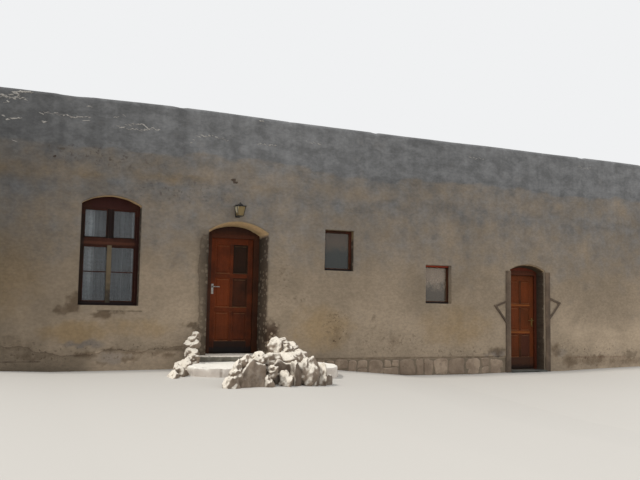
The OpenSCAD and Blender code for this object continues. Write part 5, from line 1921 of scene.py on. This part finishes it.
def rock(stone: Boulder, place: np.ndarray, half: np.ndarray, seed: int) -> Shell:
    """A broken stone as a function of two angles.

    Along each direction the radius is the soft least of the distances to some seeded planes and to the cuts,
    which gives flat broken faces; folded noise (1 - |noise|) adds ridges, and seeded dents and fine noise pits.

    Args:
        stone: The stone.
        place: Its middle in metres.
        half: Half of its three widths in metres.
        seed: Number of the draw.

    Returns:
        The closed shell.
    """
    draw = np.random.default_rng(seed)
    columns = 28 + 2 * int(55 * half.max())
    rows = int(0.62 * columns) - 2
    tilt = np.repeat(np.linspace(-math.pi / 2, math.pi / 2, rows + 2)[1:-1], columns)
    turn = np.tile(np.linspace(0, 2 * math.pi, columns, endpoint=False), rows)
    ball = np.stack([np.cos(tilt) * np.cos(turn), np.cos(tilt) * np.sin(turn), np.sin(tilt)], 1)
    way = np.concatenate([ball, [-UP, UP]])
    planes, far = unit(draw.normal(size=(15, 3))), draw.uniform(0.74, 1.14, 15)
    if stone.cuts:
        planes = np.concatenate([planes, unit(np.array([d for d, _ in stone.cuts], float))])
        far = np.concatenate([far, [share for _, share in stone.cuts]])
    reach = np.minimum(far / np.maximum(way @ planes.T, 0.05), 6.0)
    sharp = 26.0
    radius = (np.sum(reach**-sharp, axis=1) + 1.3**-sharp) ** (-1 / sharp)
    spot = way * 0.5 + seed * 5.1
    folded = 1 - 2 * np.abs(rough(spot, 0.38, 3, 0.55, 91))
    radius *= 1 + stone.ridges * folded + 0.04 * rough(spot, 0.12, 2, 0.6, 93)
    dents = draw.normal(size=(9, 3))
    dents[:, 1] = -np.abs(dents[:, 1])
    apart = np.arccos(np.clip(way @ unit(dents).T, -1, 1)) / draw.uniform(0.14, 0.34, 9)
    apart *= 1 + 0.35 * noise(spot, 0.2, 97)[:, None]
    bite = 0.07 if half.max() < 0.16 else 0.14
    cavity = bite * np.max(np.exp(-(apart**4)) * draw.uniform(0.3, 1.0, 9), axis=1)
    points = place + way * (radius * (1 - cavity))[:, None] * half
    # Painted shade in the shade value: under the stone, in its dents, and over the whole of a stone set in shadow;
    # hollow adds dark patches by noise
    hollow = smooth(-rough(spot, 0.3, 3, 0.6, 95), 0.25, 0.7) * 0.5
    under = smooth(-way[:, 2], 0.2, 0.9) * 0.6
    shade = np.maximum.reduce([hollow, under, 4 * cavity, np.full(len(points), stone.dark)])
    poles = rows * columns, rows * columns + 1
    return Shell(points, tube_faces(rows, columns, poles), {"shade": np.clip(shade, 0, 1)})


def rough_slab(edge: np.ndarray, z0: float, z1: float, joints: Sequence[float] = (), seed: int = 0,
               rings: int = 16, lip: float = 0.02) -> Shell:
    """A slab of natural stone over an outline.

    The top is a fan of rings: ring t is the outline drawn to its middle by 1 - t. The sides go down from the
    worn lip. Top and sides are pushed in and out by noise, and a joint is a groove at a given x.

    Args:
        edge: Outline, counter-clockwise as seen from above.
        z0: Foot.
        z1: Top.
        joints: Places of the joints between its stones along x.
        seed: Number of the draw.
        rings: Number of rings on the top.
        lip: Radius of the worn lip.

    Returns:
        The closed shell.
    """
    closed = np.concatenate([edge, edge[:1]])
    run = np.concatenate([[0], np.cumsum(np.linalg.norm(np.diff(closed, axis=0), axis=1))])
    count = max(60, int(run[-1] / 0.032))
    s = np.linspace(0, run[-1], count, endpoint=False)
    rim = np.stack([np.interp(s, run, closed[:, 0]), np.interp(s, run, closed[:, 1])], 1)
    middle = rim.mean(axis=0)
    tangent = np.roll(rim, -1, 0) - np.roll(rim, 1, 0)
    normal = unit(np.stack([tangent[:, 1], -tangent[:, 0]], 1))
    levels = [(middle + (rim - normal * lip - middle) * t, z1) for t in np.linspace(0.06, 1, rings) ** 0.8]
    for angle in np.radians([30, 60, 90]):
        levels.append((rim - normal * (lip * (1 - math.sin(angle))), z1 - lip * (1 - math.cos(angle))))
    levels += [(rim, z) for z in np.linspace(z1 - lip, z0, 7)[1:]]
    flat = np.concatenate([np.column_stack([ring, np.full(count, z)]) for ring, z in levels])
    on_side = np.repeat(np.arange(len(levels)) >= rings, count).astype(float)
    push = (0.014 * rough(flat, 0.16, 3, 0.55, seed + 101) - 0.006) * on_side
    lift = 0.007 * rough(flat, 0.35, 3, 0.5, seed + 103) * (1 - on_side)
    groove = np.zeros(len(flat))
    for x in joints:
        centre = x + 0.012 * noise(flat, 0.08, seed + 105)
        groove = np.maximum(groove, np.exp(-(((flat[:, 0] - centre) / 0.010) ** 2)))
    flat[:, :2] += np.tile(normal, (len(levels), 1)) * (push - 0.016 * groove * on_side)[:, None]
    flat[:, 2] += lift - 0.010 * groove * (1 - on_side)
    flat[-count:, 2] = z0
    points = np.concatenate([flat, [[*middle, flat[:count, 2].mean()]]])
    faces = turned_over(tube_faces(len(levels), count, (len(flat), None)))
    # Shade value: dark joints, and faint painted shade on the sides
    return Shell(points, faces, {"shade": np.concatenate([np.clip(groove + 0.15 * on_side, 0, 1), [0]])})


@dataclass
class StepsAndStones:
    """Top step, lower step, flat slab and the two heaps of stones in front of door 1.

    Shares are the outline of a stone: of its half width from the middle, and of its reach from the wall.
    """

    middle: float = DOORWAY_1.middle
    unit: float = 0.010
    top_z: float = 0.41
    lower_z: float = 0.315
    slab_z: float = 0.310
    top_half: float = 0.74
    top_reach: float = 0.25
    lower_half: float = 0.95
    lower_reach: float = 1.5
    slab_w: float = 0.39
    top_shares: tuple = ((-1, 0), (-0.96, 0.9), (-0.68, 1), (0.59, 0.96), (0.95, 0.86), (1, 0))
    lower_shares: tuple = ((-0.86, -0.01), (-0.92, 0.34), (-1.12, 0.62), (-1.06, 0.79), (-0.84, 0.87), (-0.5, 0.93),
                           (0, 1), (0.44, 0.99), (0.8, 1.02), (1, 0.98), (1, -0.01))
    slab_shares: tuple = ((0.004, 0.98), (0.42, 0.97), (0.84, 0.82), (1.06, 0.62), (1.04, 0.42), (0.84, 0.2),
                          (0.6, -0.01), (0.004, -0.01))
    left_pile: tuple = (Boulder((-75, -20, 71), (14, 15, 16), 0, 0.2),
        Boulder((-79, -24, 65), (14, 15, 14), 0, 0.2), Boulder((-82, -27, 57), (21, 22, 18)),
        Boulder((-85, -32, 46), (19, 24, 20)), Boulder((-86, -40, 35), (19, 34, 20)),
        Boulder((-88, -42, 15), (28, 44, 42)), Boulder((-102, -62, 27), (20, 38, 28)),
        Boulder((-103, -66, 10), (26, 44, 32)), Boulder((-116, -93, 19), (26, 42, 28)),
        Boulder((-118, -98, 6), (28, 46, 24)), Boulder((-129, -116, 11), (18, 34, 26)))
    right_pile: tuple = (
        Boulder((-50, -218, 24), (52, 42, 60), 0.05, 0.05, (
            ((0.12, -1, 0.1), 0.56), ((-0.72, -0.1, 0.7), 0.66), ((1, -0.1, 0.1), 0.84))),
        Boulder((-68, -222, 31), (18, 20, 26), 0, 0.2), Boulder((-56, -216, 44), (18, 18, 18), 0, 0.2),
        Boulder((-34, -208, 48), (19, 20, 18), 0, 0.2), Boulder((-79, -226, 13), (18, 22, 32), 0, 0.2),
        Boulder((5, -200, 22), (60, 42, 48), 0.75, 0.08, (((0, -1, 0.05), 0.6),)),
        Boulder((-11, -198, 43), (30, 28, 26), 0, 0.07), Boulder((12, -193, 43), (30, 28, 22), 0, 0.07),
        Boulder((31, -185, 46), (24, 24, 22), 0, 0.08), Boulder((-19, -221, 33), (14, 24, 15), 0, 0.2),
        Boulder((-26, -225, 13), (14, 24, 29)), Boulder((1, -222, 14), (20, 30, 32), 0, 0.2),
        Boulder((16, -219, 24), (13, 30, 50), 0.7, 0.05, (((0.1, -1, 0.02), 0.6), ((-1, 0, 0.1), 0.7))),
        Boulder((12, -158, 60), (24, 24, 28), 0, 0.08), Boulder((22, -151, 69), (20, 18, 16), 0, 0.08),
        Boulder((36, -152, 61), (24, 22, 18), 0, 0.08), Boulder((44, -162, 49), (20, 22, 22), 0, 0.1),
        Boulder((24, -158, 54), (28, 40, 24)), Boulder((22, -160, 38), (58, 50, 30)),
        Boulder((36, -210, 24), (31, 36, 50), 0, 0.16), Boulder((51, -206, 17), (20, 34, 38), 0.75, 0.05),
        Boulder((61, -208, 17), (14, 30, 40), 0, 0.1),
        Boulder((71, -203, 13), (16, 28, 30), 0.6, 0.05, (((0.2, -1, 0), 0.7),)),
        Boulder((41, -188, 30), (26, 42, 38)))

    def outline(self, shares: Sequence[tuple[float, float]], half: float, reach: float, start: float) -> np.ndarray:
        """An outline from shares of a half width and of a reach out from the wall."""
        return np.array([(start, PLAN.front)]) + np.array(shares) * (half, -reach)

    def heap(self, name: str, stones: Sequence[Boulder], seed: int, replaces: str) -> None:
        """Build one heap of stones as one piece, clear of the wall face and above the foot of the house.

        Args:
            name: Name of the piece.
            stones: Its stones.
            seed: Number of the first stone's draw.
            replaces: Solid of the frame that it stands for.
        """
        corner = np.array([self.middle, PLAN.front, 0.0])
        heap = Shell.joined([
            rock(s, corner + np.array(s.place) * self.unit, np.array(s.size) * self.unit / 2, seed + k)
            for k, s in enumerate(stones)])
        heap.points[:, 1] = np.minimum(heap.points[:, 1], PLAN.front - 0.001)
        heap.points[:, 2] = np.maximum(heap.points[:, 2], 0.002)
        piece(name, heap, PALE_STONE, (replaces,))

    def build(self) -> None:
        """Build the steps, the slab and the heaps; the top step runs on into the doorway."""
        inner = ((0.52, -0.01), (0.478, -0.35), (-0.478, -0.35), (-0.52, -0.01))
        top = np.concatenate([self.outline(self.top_shares, self.top_half, self.top_reach, self.middle),
                              self.outline(inner, 1.0, 1.0, self.middle)])
        lower = self.outline(self.lower_shares, self.lower_half, self.lower_reach, self.middle)
        slab = self.outline(self.slab_shares, self.slab_w, self.lower_reach, self.middle + self.lower_half)
        piece("top_step_stone", rough_slab(top, self.lower_z - 0.004, self.top_z, (-2.62, -2.05), 1), SHADED_STEP_STONE,
              ("top_step",))
        piece("lower_step_stone", rough_slab(lower, 0.0, self.lower_z, (-3.0, -2.45, -1.9), 7, 34), SUNLIT_SLAB_STONE,
              ("lower_step",))
        piece("foot_slab_stone", rough_slab(slab, 0.0, self.slab_z, (), 13), SUNLIT_SLAB_STONE, ("foot_slab",))
        self.heap("left_heap", self.left_pile, 3, "left_boulders")
        self.heap("right_heap", self.right_pile, 40, "right_boulders")


@dataclass
class PlinthStones:
    """Rubble in the plinth of the front: one course of squared stones, with small ones between them."""

    low: float = 0.008
    high: float = 0.302
    start: float = -1.40
    stop: float = 3.07
    stand: float = 0.015
    joint: float = 0.012
    sides: int = 26
    power: float = 0.42

    def stone(self, x0: float, x1: float, z0: float, z1: float, seed: int) -> Shell:
        """A pillow over a rounded outline: rings of a superellipse, proud by 1 - t^4 of its height.

        Args:
            x0: Left side.
            x1: Right side.
            z0: Foot.
            z1: Top.
            seed: Number of the draw.

        Returns:
            The stone.
        """
        turn = np.linspace(0, 2 * math.pi, self.sides, endpoint=False)
        ex, ez = (np.sign(v) * np.abs(v) ** self.power for v in (np.cos(turn), np.sin(turn)))
        lean, wedge = lattice(np.array([[seed, 7, 1], [seed, 9, 2]]), 119) - 0.5
        rings = np.array([[0.12, 1], [0.4, 0.98], [0.65, 0.92], [0.82, 0.78], [0.93, 0.5], [1, 0], [1, -1.2]])
        t, proud = np.repeat(rings, self.sides, axis=0).T
        ex, ez = np.tile(ex * (0.97 + 0.28 * wedge * ez) + 0.20 * lean * ez, len(rings)), np.tile(ez, len(rings))
        points = np.stack([(x0 + x1 + t * ex * (x1 - x0)) / 2,
                           PLAN.front + PLAN.plinth_back + 0.004 - proud * self.stand,
                           (z0 + z1 + t * ez * (z1 - z0)) / 2], -1)
        spot = points + seed * 2.3
        points[:, 0] += 0.018 * noise(spot, 0.11, 111) * t
        points[:, 1] -= 0.010 * rough(spot, 0.10, 3, 0.6, 115) * (proud > 0)
        points[:, 2] = np.clip(points[:, 2] + 0.016 * noise(spot, 0.10, 113) * t * (proud > -1), 0.002, 0.312)
        faces = turned_over(tube_faces(len(rings), self.sides, (len(points), None)))
        points = np.concatenate([points, [points[:self.sides].mean(axis=0)]])
        tone = float(lattice(np.array([[seed, 3, 5]]), 117)[0])
        return Shell(points, faces, {"shade": np.full(len(points), 0.62 * tone)})

    def build(self) -> None:
        """Lay the stones along the front from seeded widths; four in ten bays hold two layers of them."""
        draw = np.random.default_rng(23)
        parts, x, seed = [], self.start, 1
        while x < self.stop - 0.12:
            wide = draw.uniform(0.16, 0.38)
            end = min(x + wide, self.stop)
            if draw.random() < 0.42:
                split = self.low + (self.high - self.low) * draw.uniform(0.38, 0.62)
                half = x + (end - x) * draw.uniform(0.4, 0.6) if wide > 0.28 else end
                parts.append(self.stone(x, end - self.joint, self.low, split - 0.008, seed))
                parts.append(self.stone(x, half - 0.010, split, self.high, seed + 1))
                if half < end:
                    parts.append(self.stone(half, end - self.joint, split, self.high, seed + 2))
            else:
                parts.append(self.stone(x, end - self.joint, self.low, self.high, seed))
            x, seed = end, seed + 3
        piece("front_plinth_stones", Shell.joined(parts), PLINTH_STONE)


@dataclass
class LimeFlakes:
    """Thin wavy flakes of old limewash that cling to the render, each a lens-shaped strip along a line.

    Runs are the start and end along the wall and up it, the number of flakes and how far they stray. Lens is
    the profile of a flake: shares of its half height, and depths behind the plaster.
    """

    points: int = 16
    lens: tuple = ((-1, 0.003), (-0.6, -0.0022), (0, -0.0034), (0.6, -0.0022), (1, 0.003), (0, 0.006))
    runs: tuple = ((-6.7, 4.3, -6.13, 4.28, 9, 0.02), (-6.13, 4.28, -6.01, 4.27, 6, 0.014),
        (-6.01, 4.27, -5.92, 4.35, 5, 0.012), (-5.92, 4.35, -5.69, 4.38, 11, 0.014),
        (-5.99, 4.26, -5.76, 4.28, 10, 0.012), (-6.06, 4.17, -6.01, 4.19, 2, 0.008),
        (-6.6, 3.98, -6.03, 3.97, 8, 0.012), (-6.02, 3.92, -5.94, 3.95, 4, 0.008),
        (-5.94, 3.95, -5.82, 3.97, 4, 0.01), (-5.56, 4.05, -5.45, 4.1, 4, 0.008),
        (-5.45, 4.1, -5.14, 4.08, 7, 0.008), (-5.14, 4.08, -5.05, 4.07, 2, 0.006),
        (-5.05, 4.07, -4.82, 4.11, 5, 0.009), (-4.95, 4.03, -4.84, 4.04, 3, 0.006),
        (-4.87, 4.27, -4.81, 4.26, 2, 0.005), (-5.52, 3.94, -5.46, 3.95, 2, 0.005),
        (-4.49, 4.13, -4.28, 4.21, 3, 0.012), (-4.4, 4.01, -4.31, 3.99, 3, 0.008),
        (-4.31, 3.99, -4.25, 4.05, 2, 0.008), (-4.25, 4.05, -3.97, 4.07, 6, 0.006),
        (-4.26, 3.97, -3.96, 3.99, 6, 0.006), (-3.96, 3.99, -3.94, 4.04, 2, 0.006),
        (-3.94, 4.04, -3.75, 4.01, 5, 0.01), (-3.11, 3.97, -2.83, 4.03, 6, 0.01),
        (-3.23, 3.84, -3.16, 3.94, 2, 0.01), (-2.81, 3.99, -2.57, 3.97, 5, 0.012),
        (-2.06, 3.96, -1.71, 3.97, 6, 0.007), (-2.04, 4.35, -1.97, 4.37, 2, 0.004),
        (-5.92, 3.61, -5.87, 3.61, 1, 0.003), (-1.2, 4.1, -0.9, 4.08, 4, 0.012),
        (2.2, 4.16, 2.6, 4.15, 5, 0.012), (4.9, 4.22, 5.3, 4.2, 5, 0.012))

    def flake(self, x: float, z: float, length: float, tall: float, lean: float, seed: int) -> Shell:
        """One flake: a closed lens-shaped profile carried along a wavy line on the plaster, thin at both ends.

        Args:
            x: Middle along the wall.
            z: Height of the middle.
            length: Its length.
            tall: Its half height.
            lean: Its slope.
            seed: Number of the draw.

        Returns:
            The flake.
        """
        t = np.linspace(0, 1, self.points)
        px, nil = x + (t - 0.5) * length, 0 * t
        line = np.stack([px, nil + seed, nil], 1)
        pz = z + lean * (t - 0.5) * length + 0.009 * noise(line, 0.030, 141)
        half = tall * (0.10 + np.sin(math.pi * t) ** 0.7 * (0.75 + 0.6 * noise(line, 0.02, 143)))
        y = PLAN.front - wall_relief(np.stack([px, nil + PLAN.front, pz], 1))
        points = np.stack([np.stack([px, y + d, pz + k * half], 1) for k, d in self.lens], 1).reshape(-1, 3)
        return Shell(points, turned_over(tube_faces(self.points, len(self.lens))))

    def build(self) -> None:
        """Scatter the flakes along their lines."""
        draw = np.random.default_rng(5)
        parts = []
        for k, (x0, z0, x1, z1, count, stray) in enumerate(self.runs):
            for i in range(count):
                t = (i + draw.uniform(0.2, 0.8)) / count
                long = draw.uniform(0.035, 0.095)
                parts.append(self.flake(x0 + t * (x1 - x0), z0 + t * (z1 - z0) + draw.normal() * stray, long,
                                        draw.uniform(0.005, 0.015), draw.uniform(-0.4, 0.45), 100 * k + i))
        piece("lime_flakes", Shell.joined(parts), LIME)


# ---------------------------------------------------------------- bands, sill, roof and floors


@dataclass
class DoorBands:
    """The raised bands with slanted ribs beside door 2."""

    edge: float = 0.006

    def build(self) -> None:
        """Soften the solid's edges, as trowelled render has, and paint shade on the ribs and the outer edges."""
        made = softened("door_2_surround", "door_2_bands", self.edge)
        place = np.zeros(3 * len(made.data.vertices))
        made.data.vertices.foreach_get("co", place)
        away = np.abs(place[::3] - DOORWAY_2.middle) - DOORWAY_2.half(0)
        # Painted shade: darker away from the doorway over the ribs, less dark past them
        carry(made.data, {"shade": smooth(away, 0.02, 0.13) * (0.75 - 0.4 * smooth(away, 0.15, 0.18))})
        settle(made, BAND_RENDER, ("door_2_surround",))


@dataclass
class Roof:
    """Beams, boards, the earth on them and the rain spouts."""

    clear: float = 0.0003
    half_l: float = PLAN.right - PLAN.parapet - clear
    half_d: float = PLAN.rear - PLAN.parapet - clear
    base: float = 3.6656
    front: float = 0.130
    rear: float = 0.075

    def earth(self) -> None:
        """Lay the roof earth: a grid whose height falls from front to rear, uneven by 10 mm, closed below."""
        wide, deep = 170, 56
        gx, gy = (g.ravel() for g in np.meshgrid(np.linspace(-self.half_l, self.half_l, wide),
                                                 np.linspace(-self.half_d, self.half_d, deep)))
        fall = self.base + self.front + (self.rear - self.front) * (gy + self.half_d) / (2 * self.half_d)
        points = np.stack([gx, gy, fall], 1)
        inner = smooth(np.minimum(self.half_l - np.abs(gx), self.half_d - np.abs(gy)), 0, 0.1)
        points[:, 2] += 0.010 * rough(points, 0.9, 4, seed=121) * inner + 0.012 * (1 - inner)
        ring = [*range(wide), *range(2 * wide - 1, deep * wide, wide),
                *range(deep * wide - 2, (deep - 1) * wide - 1, -1), *range((deep - 2) * wide, 0, -wide)]
        low = points[ring] * (1, 1, 0) + (0, 0, self.base)
        foot = [len(points) + k for k in range(len(ring))]
        faces = grid_faces(deep, wide) + [tuple(foot[::-1])]
        faces += zip(foot, foot[1:] + foot[:1], ring[1:] + ring[:1], ring)
        piece("roof_earth_worn", Shell(np.concatenate([points, low]), faces), EARTH, ("roof_earth",))

    def build(self) -> None:
        """Build the roof."""
        self.earth()
        dress("roof_beams", ROOF_TIMBER)
        dress("roof_boards", ROOF_BOARD)
        worn("rain_spouts", "rain_spouts_worn", 0.004, ROOF_TIMBER)


@dataclass
class FloorsAndSill:
    """Floors inside, the sill of door 2 and the hinge halves on the frames."""

    edge: float = 0.010

    def build(self) -> None:
        """Soften the sill and dress the solids that stay as they are."""
        dress("upper_floor", EARTH)
        dress("lower_floor", EARTH)
        worn("door_2_sill", "door_2_sill_worn", self.edge, SILL_STONE, segments=3)
        dress("frame_hinges", IRON)


# ---------------------------------------------------------------- floor, light and camera


@dataclass(frozen=True)
class Studio:
    """Pale floor that follows the slope along the house, soft light and the camera.

    Slope is the floor's height along x. Sun is the direction towards the sun, and the sun is as wide as its
    size in degrees.
    """

    lens: float = 42.75
    yaw: float = 23.75
    pitch: float = 4.99
    roll: float = 1.04
    eye: tuple = (-6.2, -14.7, 1.23)
    reach: float = 60.0
    fall: float = 0.05
    hole: float = 0.1
    sun: tuple = (-0.55, 0.06, 0.83)
    sun_power: float = 1.8
    sun_size: float = 7.0
    sun_tint: tuple = (1.0, 0.96, 0.90)
    sky_tint: tuple = (0.95, 0.97, 1.0, 1.0)
    sky_power: float = 1.1
    slope: tuple = ((-60, 0.22), (-6.3, 0.217), (-5.2, 0.18), (-4.4, 0.185), (-2.34, 0.2), (-0.55, 0.134),
                    (0.9, 0.012), (2.3, 0.005), (2.86, 0.02), (4.5, 0.03), (5.7, 0.07), (6.6, 0.09), (60, 0.09))

    def floor(self) -> None:
        """Lay the floor: a grid whose height is a function of x alone, left open under the house."""
        left, right, front, rear = (v + s * self.hole for v, s in (
            (PLAN.left, 1), (PLAN.right, -1), (PLAN.front, 1), (PLAN.rear, -1)))
        profile = np.array(self.slope)
        x = np.unique([-self.reach, self.reach, left, right, *np.linspace(-9, 9, 61), *profile[:, 0]])
        x = x[(np.abs(x - left) > 0.02) | np.isclose(x, left)]
        y = np.array([-self.reach, -9, -7.1, -3.6, front, rear, 8, self.reach])
        gx, gy = np.meshgrid(x, y)
        gz = np.interp(gx, *profile.T) - self.fall * np.clip(-3.6 - gy, 0, 3.5)
        keep = (gx[:-1, :-1] < left - 0.05) | (gx[:-1, 1:] > right + 0.05) | (gy[:-1, :-1] < front - 0.05)
        keep |= gy[1:, :-1] > rear + 0.05
        faces = [f for f, k in zip(grid_faces(len(y), len(x)), keep.ravel().tolist()) if k]
        sheet = meshed("studio_floor", Shell(np.stack([gx.ravel(), gy.ravel(), gz.ravel()], 1), faces))
        pale = bpy.data.materials.new("studio floor")
        pale.use_nodes = True
        Graph(pale.node_tree).feed(pale.node_tree.nodes["Principled BSDF"],
                                   {"Base Color": srgb(186, 182, 175), "Roughness": 0.9})
        sheet.data.materials.append(pale)

    def lights(self) -> None:
        """Give even light from the world, and a high soft sun a little behind the front wall."""
        world = bpy.data.worlds.new("studio")
        bpy.context.scene.world = world
        world.use_nodes = True
        world.node_tree.nodes.clear()
        graph = Graph(world.node_tree)
        seen = graph.add("LightPath")
        direct = graph.math("MAXIMUM", seen["Is Camera Ray"], seen["Is Transmission Ray"])
        direct = graph.math("MAXIMUM", direct, seen["Is Glossy Ray"])
        ambient = graph.add("Background", {0: self.sky_tint, 1: self.sky_power})[0]
        pale = graph.add("Background", {0: srgb(240, 241, 242), 1: 1.0})[0]
        graph.add("OutputWorld", {0: graph.add("MixShader", {0: direct, 1: ambient, 2: pale})[0]})
        sun = bpy.data.lights.new("high sun", "SUN")
        sun.energy, sun.angle, sun.color = self.sun_power, math.radians(self.sun_size), self.sun_tint
        lamp = linked("high sun", sun)
        lamp.rotation_euler = Vector(self.sun).normalized().to_track_quat("Z", "Y").to_euler()

    def camera(self) -> None:
        """Set the camera by its yaw, pitch and roll, as fitted to the walls of the photograph."""
        yaw, pitch, roll = (math.radians(v) for v in (self.yaw, self.pitch, self.roll))
        ahead = Vector((math.sin(yaw) * math.cos(pitch), math.cos(yaw) * math.cos(pitch), math.sin(pitch)))
        level = Vector((math.cos(yaw), -math.sin(yaw), 0))
        above = level.cross(ahead)
        right = math.cos(roll) * level + math.sin(roll) * above
        up = -math.sin(roll) * level + math.cos(roll) * above
        lens = bpy.data.cameras.new("view")
        lens.lens, lens.sensor_width, lens.clip_end = self.lens, 36.0, 300
        eye = linked("view", lens)
        turn = Matrix((right, up, -ahead)).transposed().to_4x4()
        eye.matrix_world = Matrix.Translation(Vector(self.eye)) @ turn
        bpy.context.scene.camera = eye
        bpy.context.scene.view_settings.view_transform = "Standard"


def main() -> None:
    """Build every part of the house in order."""
    logging.basicConfig(level=logging.INFO, format="%(name)s: %(message)s")
    studio = Studio()
    studio.camera()
    studio.floor()
    studio.lights()
    first = PanelDoor(
        number=1, middle=DOORWAY_1.middle, floor=0.41, opening=DOORWAY_1.width, recess=DOORWAY_1.recess, post=0.10,
        height=1.95, bottom_rail=0.195, tones=(0.56, 0.29, 0.64, 0.19, 0.4, 0.06, 0.38, 0.27, 0.06, 0.4, 0.4, 0.3),
        body=Body.DOOR_1)
    second = PanelDoor(
        number=2, middle=DOORWAY_2.middle, floor=0.06, opening=DOORWAY_2.width, recess=DOORWAY_2.recess, post=0.05,
        height=1.86, bottom_rail=0.225, tones=(0.46, 0.28, 0.52, 0.4, 0.46, 0.56, 0.45, 0.4, 0.08, 0.5, 0.45, 0.12),
        body=Body.DOOR_2, metal=BRASS)
    for part in (Walls(), PlinthStones(), LimeFlakes(), first, second, ArchedWindow(), SmallWindows(), Lantern(),
                 DoorBands(), StepsAndStones(), Roof(), FloorsAndSill()):
        part.build()


if __name__ == "__main__":
    main()
